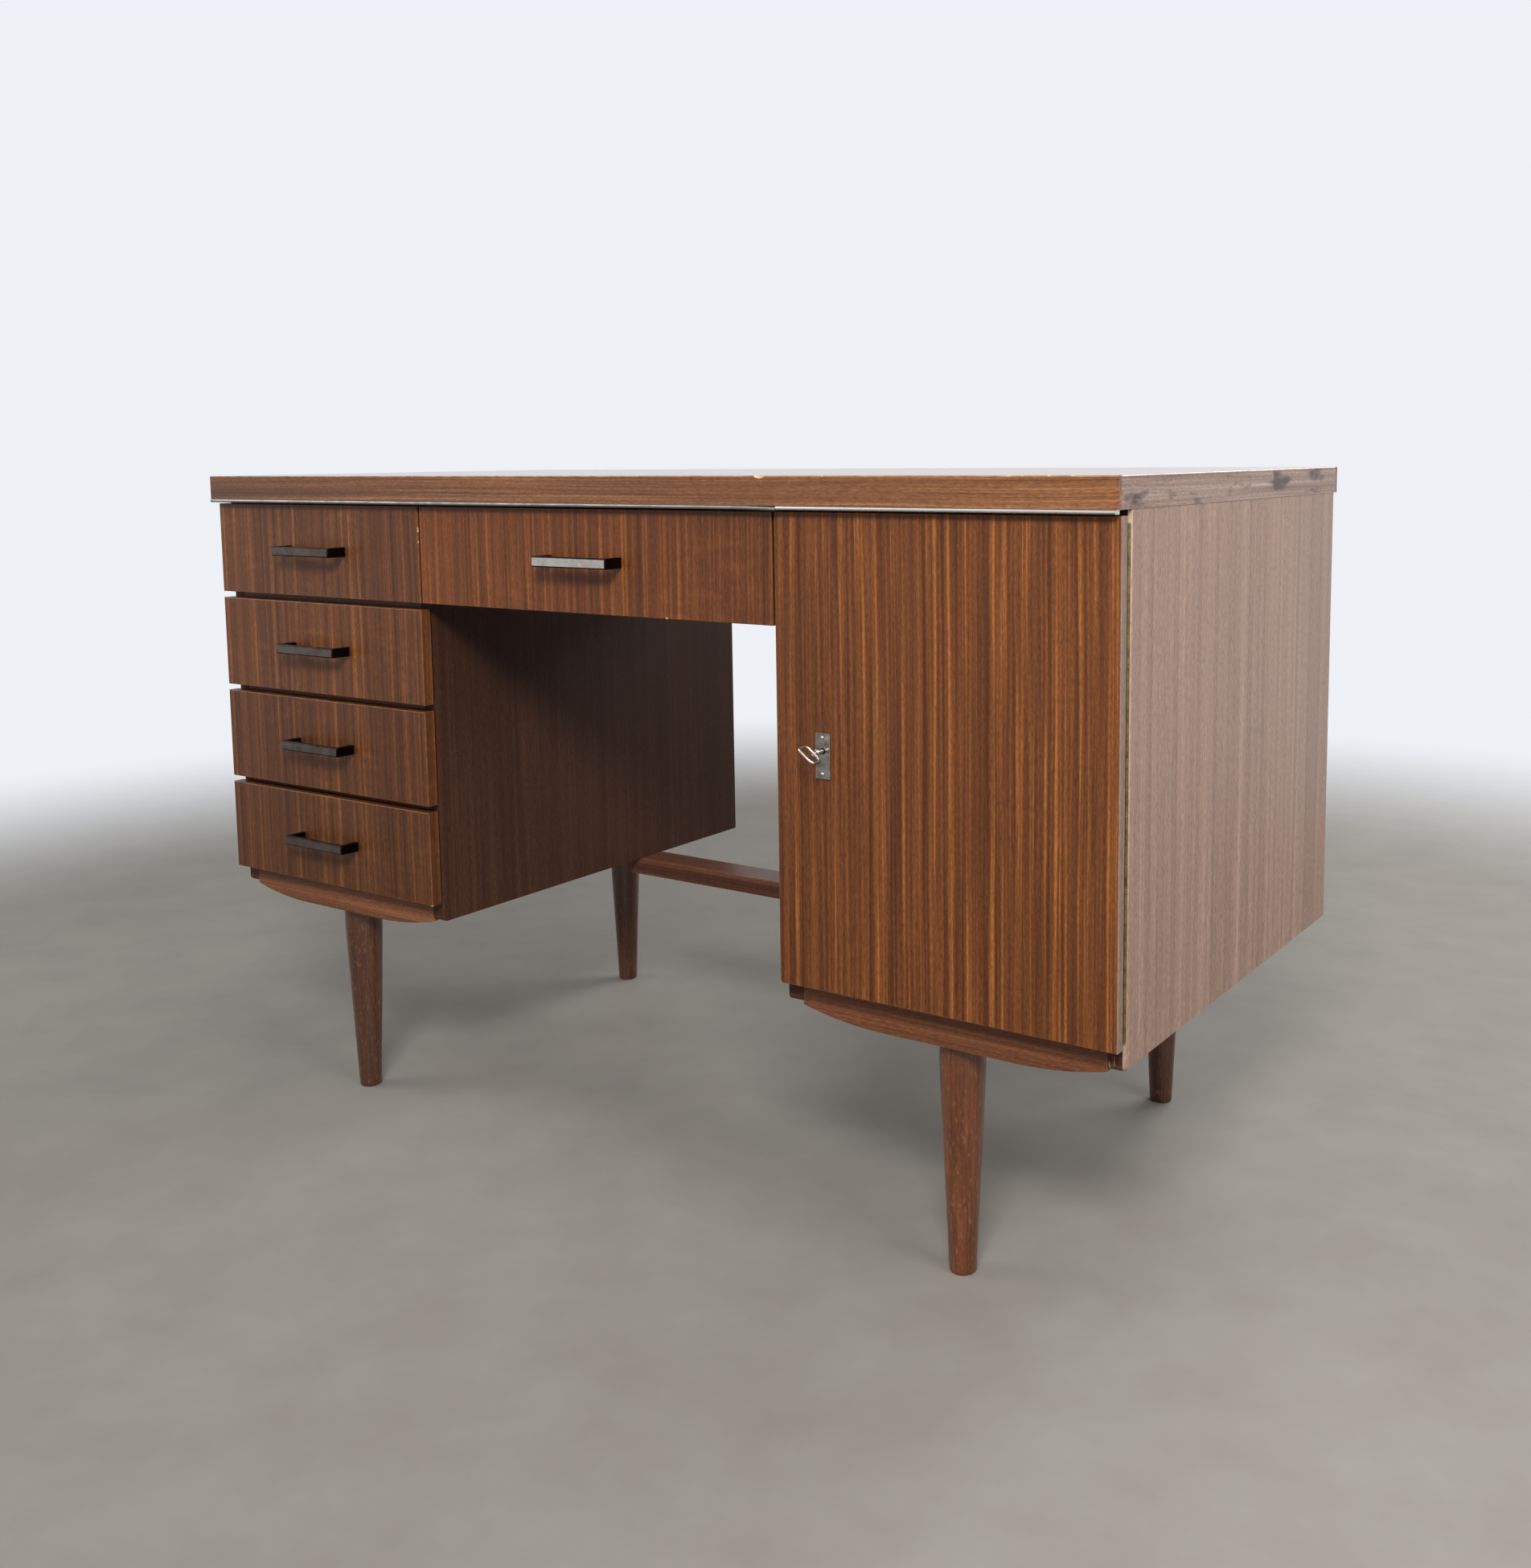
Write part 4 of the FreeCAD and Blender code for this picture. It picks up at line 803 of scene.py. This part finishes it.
def head_shape(name, kind, diameter_mm, height_mm, material):
    """One fastener head about the origin, pointing along +Z: a slotted screw, or a domed pin."""
    shape = bmesh.new()
    radius, height = diameter_mm * MM / 2, height_mm * MM
    rings = [
        [shape.verts.new((radius * r * math.cos(math.tau * i / HEAD_SIDES),
                          radius * r * math.sin(math.tau * i / HEAD_SIDES), height * h))
         for i in range(HEAD_SIDES)]
        for r, h in DOME
    ]
    for before, after in zip(rings, rings[1:]):
        for i in range(HEAD_SIDES):
            j = (i + 1) % HEAD_SIDES
            shape.faces.new((before[i], before[j], after[j], after[i]))
    if kind == "slotted":
        # the slot is a sunken strip across the crown
        crown = rings[-1]
        inset = [shape.verts.new((v.co.x * 0.8, v.co.y * 0.25, height * 0.5)) for v in crown]
        for i in range(HEAD_SIDES):
            j = (i + 1) % HEAD_SIDES
            shape.faces.new((crown[i], crown[j], inset[j], inset[i]))
        shape.faces.new(inset)
    else:
        shape.faces.new(rings[-1])
    shape.faces.new(list(reversed(rings[0])))
    bmesh.ops.recalc_face_normals(shape, faces=shape.faces)
    for face in shape.faces:
        face.smooth = kind == "domed"
    mesh = to_mesh(shape, name, [material])
    pattern = bpy.data.objects.new(name, mesh)
    bpy.context.scene.collection.objects.link(pattern)
    return pattern


def line_of_heads_tree():
    """Nodes that stand copies of one head along a line, each turned by a seeded amount."""
    tree = bpy.data.node_groups.new("line_of_heads", "GeometryNodeTree")
    face = tree.interface
    for label, kind in (("Head", "NodeSocketObject"), ("Start", "NodeSocketVector"),
                        ("End", "NodeSocketVector"), ("Count", "NodeSocketInt"),
                        ("Lean", "NodeSocketVector"), ("Seed", "NodeSocketInt"),
                        ("Finish", "NodeSocketMaterial")):
        face.new_socket(name=label, in_out="INPUT", socket_type=kind)
    face.new_socket(name="Geometry", in_out="OUTPUT", socket_type="NodeSocketGeometry")
    given = add(tree, "NodeGroupInput").outputs
    line = add(tree, "GeometryNodeMeshLine",
               {"Count": given["Count"], "Start Location": given["Start"],
                "Offset": given["End"]}, mode="END_POINTS")
    pattern = add(tree, "GeometryNodeObjectInfo", {"Object": given["Head"]})
    spin = add(tree, "FunctionNodeRandomValue", {"Min": (0.0, 0.0, 0.0),
                                                 "Max": (0.0, 0.0, math.pi),
                                                 "Seed": given["Seed"]},
               data_type="FLOAT_VECTOR")
    lean = add(tree, "FunctionNodeEulerToRotation", {0: given["Lean"]})
    spun = add(tree, "FunctionNodeEulerToRotation", {0: spin.outputs[0]})
    turned = add(tree, "FunctionNodeRotateRotation",
                 {0: lean.outputs[0], 1: spun.outputs[0]}, rotation_space="LOCAL")
    stood = add(tree, "GeometryNodeInstanceOnPoints",
                {"Points": line.outputs[0], "Instance": pattern.outputs["Geometry"],
                 "Rotation": turned.outputs[0]})
    real = add(tree, "GeometryNodeRealizeInstances", {0: stood.outputs[0]})
    finished = add(tree, "GeometryNodeSetMaterial", {"Geometry": real.outputs[0],
                                                     "Material": given["Finish"]})
    add(tree, "NodeGroupOutput", {0: finished.outputs[0]})
    return tree


HEADS = line_of_heads_tree()
SOCKETS = {item.name: item.identifier for item in HEADS.interface.items_tree
           if item.in_out == "INPUT"}
# How a head is leaned so that it faces this way.
LEAN = {"-y": (math.pi / 2, 0, 0), "+y": (-math.pi / 2, 0, 0), "-z": (math.pi, 0, 0),
        "+x": (0, math.pi / 2, 0), "-x": (0, -math.pi / 2, 0)}


def fastenings(name, body, pattern, material, rows):
    """One piece on one body from rows of heads: start, end, count and facing, in millimetres."""
    gathered = bmesh.new()
    for seed, (start, end, count, facing) in enumerate(rows):
        base = bpy.data.objects.new("heads", bpy.data.meshes.new("heads"))
        bpy.context.scene.collection.objects.link(base)
        modifier = base.modifiers.new("heads", "NODES")
        modifier.node_group = HEADS
        values = {"Head": pattern, "Start": [c * MM for c in start], "End": [c * MM for c in end],
                  "Count": count, "Lean": LEAN[facing], "Seed": seed, "Finish": material}
        for label, value in values.items():
            modifier[SOCKETS[label]] = value
        graph = bpy.context.evaluated_depsgraph_get()
        mesh = bpy.data.meshes.new_from_object(base.evaluated_get(graph), depsgraph=graph)
        bpy.data.objects.remove(base)
        gathered.from_mesh(mesh)
    mesh = to_mesh(gathered, name, [material])
    return own_mesh(name, mesh, body)


plate_pin = head_shape("plate_pin", "domed", 3.6, 1.5, key_nickel)
leaf_screw = head_shape("leaf_screw", "slotted", 4.4, 0.35, aged_brass)
steel_screw = head_shape("steel_screw", "slotted", 6.4, 1.6, plain_steel)
back_nail = head_shape("back_nail", "domed", 4.0, 0.6, plain_steel)
side_pin = head_shape("side_pin", "domed", 2.2, 0.15, plain_steel)

# Places of the heads, in millimetres.
SUNK = 0.05                       # how far a head is sunk, so that no gap shows under it
JUST_SUNK = 0.02                  # the same for the flat pins of the drawer boxes
LEAF_THICKNESS = 0.8              # the hinge's leaves
LEAF_SCREW_IN = 5                 # from a leaf's edge to its screws
SIDE_SCREW_IN = 18                # from a leaf's ends to its first and last screws, on the side
DOOR_SCREW_IN = 50                # and on the door, so that they miss the others when it shuts
NAIL_IN = 12                      # from a pedestal's inner wall to its first and last nails
SCREW_SPREAD = 12                 # from the stretcher's middle line to its screws
CASE_SCREW_IN = (8, 7)            # from the lock case's side and its ends to its screws
POST_MIDDLE = 3                   # from a pull's end to the middle of its post
SIDE_PIN_IN = 6                   # from a drawer side's rear end to its pins

low, high = millimetres("lock_plate")
plate_x = (low.x + high.x) / 2
pin_y = low.y + SUNK
fastenings("lock_plate_pins", "door", plate_pin, key_nickel,
           [((plate_x, pin_y, low.z + 5), (plate_x, pin_y, high.z - 4), 2, "-y")])

side_low, side_high = millimetres("hinge_side_leaf")
door_low, door_high = millimetres("hinge_door_leaf")
leaf_x = side_low.x + LEAF_SCREW_IN
low, high = millimetres("right_pedestal_outer_side")
leaf_front = low.y - LEAF_THICKNESS
fastenings("hinge_side_screws", "carcass", leaf_screw, aged_brass,
           [((leaf_x, leaf_front, side_low.z + SIDE_SCREW_IN),
             (leaf_x, leaf_front, side_high.z - SIDE_SCREW_IN), 7, "-y")])
low, high = millimetres("door_panel")
leaf_back = high.y + LEAF_THICKNESS
fastenings("hinge_door_screws", "door", leaf_screw, aged_brass,
           [((leaf_x, leaf_back, door_low.z + DOOR_SCREW_IN),
             (leaf_x, leaf_back, door_high.z - DOOR_SCREW_IN), 6, "+y")])

_, back_high = millimetres("pedestal_backs")
nail_y = back_high.y - SUNK
rows = []
for side in ("left", "right"):
    low, high = millimetres(f"{side}_pedestal_floor")
    for z in (low.z + 6, back_high.z - 5):
        rows.append(((low.x + NAIL_IN, nail_y, z), (high.x - NAIL_IN, nail_y, z), 6, "+y"))
fastenings("back_panel_nails", "carcass", back_nail, plain_steel, rows)

low, high = millimetres("kneehole_stretcher")
mid_y = (low.y + high.y) / 2
screw_z = low.z + SUNK
wall_low, wall_high = millimetres("left_pedestal_inner_side")
half_wall = (wall_high.x - wall_low.x) / 2
fastenings("stretcher_screws", "carcass", steel_screw, plain_steel,
           [((x, mid_y - SCREW_SPREAD, screw_z), (x, mid_y + SCREW_SPREAD, screw_z), 2, "-z")
            for x in (low.x + half_wall, high.x - half_wall)])

low, high = millimetres("lock_case")
case_screw = (high.x - CASE_SCREW_IN[0], high.y - SUNK)
fastenings("lock_case_screws", "door", steel_screw, plain_steel,
           [((*case_screw, z), (*case_screw, z), 1, "+y")
            for z in (low.z + CASE_SCREW_IN[1], high.z - CASE_SCREW_IN[1])])

for drawer in DRAWERS:
    pull_low, pull_high = millimetres(f"{drawer}_handle")
    _, front_high = millimetres(f"{drawer}_front")
    side_low, side_high = millimetres(f"{drawer}_sides")
    screw_y = front_high.y - SUNK
    screw_z = (pull_low.z + pull_high.z) / 2
    fastenings(f"{drawer}_pull_screws", drawer, steel_screw, plain_steel,
               [((pull_low.x + POST_MIDDLE, screw_y, screw_z),
                 (pull_high.x - POST_MIDDLE, screw_y, screw_z), 2, "+y")])
    pin_y = side_high.y - SIDE_PIN_IN
    fastenings(f"{drawer}_side_pins", drawer, side_pin, plain_steel,
               [((x, pin_y, side_low.z + 18), (x, pin_y, side_high.z - 10), 3, facing)
                for x, facing in ((side_low.x + JUST_SUNK, "-x"),
                                  (side_high.x - JUST_SUNK, "+x"))])

for pattern in (plate_pin, leaf_screw, steel_screw, back_nail, side_pin):
    bpy.data.objects.remove(pattern)


# ---------------------------------------------------------------- studio

ROOM_TONE = "eef1f6"
ROOM_LIGHT = 0.2                  # how much of the room's brightness falls on matt surfaces


def studio_floor():
    """Plain grey floor that fades into the pale room between 1.5 and 2.9 m from the desk."""
    material, tree = new_material("plain_pale_floor")
    where = add(tree, "ShaderNodeTexCoord").outputs["Object"]
    clouds = add(tree, "ShaderNodeTexNoise", {"Vector": where, "Scale": 9.0, "Detail": 5.0,
                                              "Roughness": 0.6}).outputs["Fac"]
    colour = add(tree, "ShaderNodeValToRGB", {"Fac": clouds},
                 stops=[(0.3, srgb("7c7770")), (0.7, srgb("858179"))])
    shader = add(tree, "ShaderNodeBsdfPrincipled", {"Base Color": colour.outputs[0],
                                                    "Roughness": 0.75})
    distance = add(tree, "ShaderNodeVectorMath", {0: where}, operation="LENGTH")
    fade = add(tree, "ShaderNodeMapRange", {"Value": distance.outputs["Value"], "From Min": 1.5,
                                            "From Max": 2.9}, interpolation_type="SMOOTHSTEP")
    ray = add(tree, "ShaderNodeLightPath").outputs["Is Diffuse Ray"]
    strength = add(tree, "ShaderNodeMapRange", {"Value": ray, "To Min": 1.0,
                                                "To Max": ROOM_LIGHT})
    glow = add(tree, "ShaderNodeEmission", {"Color": srgb(ROOM_TONE),
                                            "Strength": strength.outputs[0]})
    mixed = add(tree, "ShaderNodeMixShader", {0: fade.outputs[0], 1: shader.outputs[0],
                                              2: glow.outputs[0]})
    add(tree, "ShaderNodeOutputMaterial", {"Surface": mixed.outputs[0]})
    shape = bmesh.new()
    bmesh.ops.create_grid(shape, x_segments=1, y_segments=1, size=14)
    mesh = to_mesh(shape, "floor", [material])
    floor = bpy.data.objects.new("floor", mesh)
    bpy.context.scene.collection.objects.link(floor)


def soft_light(name, place, target, width, height, power):
    """A large soft panel that looks at the target; sizes in metres, power in watts."""
    data = bpy.data.lights.new(name, "AREA")
    data.shape = "RECTANGLE"
    data.size = width
    data.size_y = height
    data.energy = power
    lamp = bpy.data.objects.new(name, data)
    lamp.location = place
    aim = Vector(target) - Vector(place)
    lamp.rotation_euler = aim.to_track_quat("-Z", "Y").to_euler()
    bpy.context.scene.collection.objects.link(lamp)


def pale_surroundings():
    """Pale room: bright to the eye and in reflections, gentler as light on matt surfaces."""
    world = bpy.data.worlds.new("pale_room")
    world.use_nodes = True
    tree = world.node_tree
    tree.nodes.clear()
    ray = add(tree, "ShaderNodeLightPath").outputs["Is Diffuse Ray"]
    seen = add(tree, "ShaderNodeBackground", {"Color": srgb(ROOM_TONE), "Strength": 1.0})
    lighting = add(tree, "ShaderNodeBackground", {"Color": srgb(ROOM_TONE), "Strength": ROOM_LIGHT})
    mixed = add(tree, "ShaderNodeMixShader", {0: ray, 1: seen.outputs[0],
                                              2: lighting.outputs[0]})
    add(tree, "ShaderNodeOutputWorld", {"Surface": mixed.outputs[0]})
    bpy.context.scene.world = world


CAMERA_PLACE = (1.13464, -1.47088, 0.76870)
CAMERA_LEFT = math.radians(33.775)     # how far it is turned left of straight ahead
CAMERA_DOWN = math.radians(6.439)
CAMERA_ROLL = math.radians(-0.556)


def set_camera():
    """Standing view from the front right, a little above the top, with the picture shifted."""
    data = bpy.data.cameras.new("camera")
    data.sensor_fit = "AUTO"
    data.sensor_width = 36
    data.lens = 36.575
    data.shift_x = -0.0538
    data.shift_y = -0.0955
    camera = bpy.data.objects.new("camera", data)
    camera.matrix_world = (Matrix.Translation(CAMERA_PLACE)
                           @ Matrix.Rotation(CAMERA_LEFT, 4, "Z")
                           @ Matrix.Rotation(math.pi / 2 - CAMERA_DOWN, 4, "X")
                           @ Matrix.Rotation(CAMERA_ROLL, 4, "Z"))
    bpy.context.scene.collection.objects.link(camera)
    bpy.context.scene.camera = camera


studio_floor()
soft_light("front_ceiling_panel", (1.4, -2.2, 2.2), (0, 0, 0.45), 0.9, 0.6, 86)
soft_light("right_ceiling_panel", (2.9, -0.6, 2.4), (0.3, 0, 0.4), 1.6, 1.6, 54)
soft_light("left_ceiling_panel", (-2.6, -1.6, 2.4), (-0.2, 0, 0.4), 1.6, 1.6, 40)
soft_light("rear_ceiling_panel", (0.9, 2.5, 2.3), (0, 0, 0.45), 2.0, 1.6, 62)
pale_surroundings()
set_camera()
bpy.context.scene.view_settings.view_transform = "Standard"
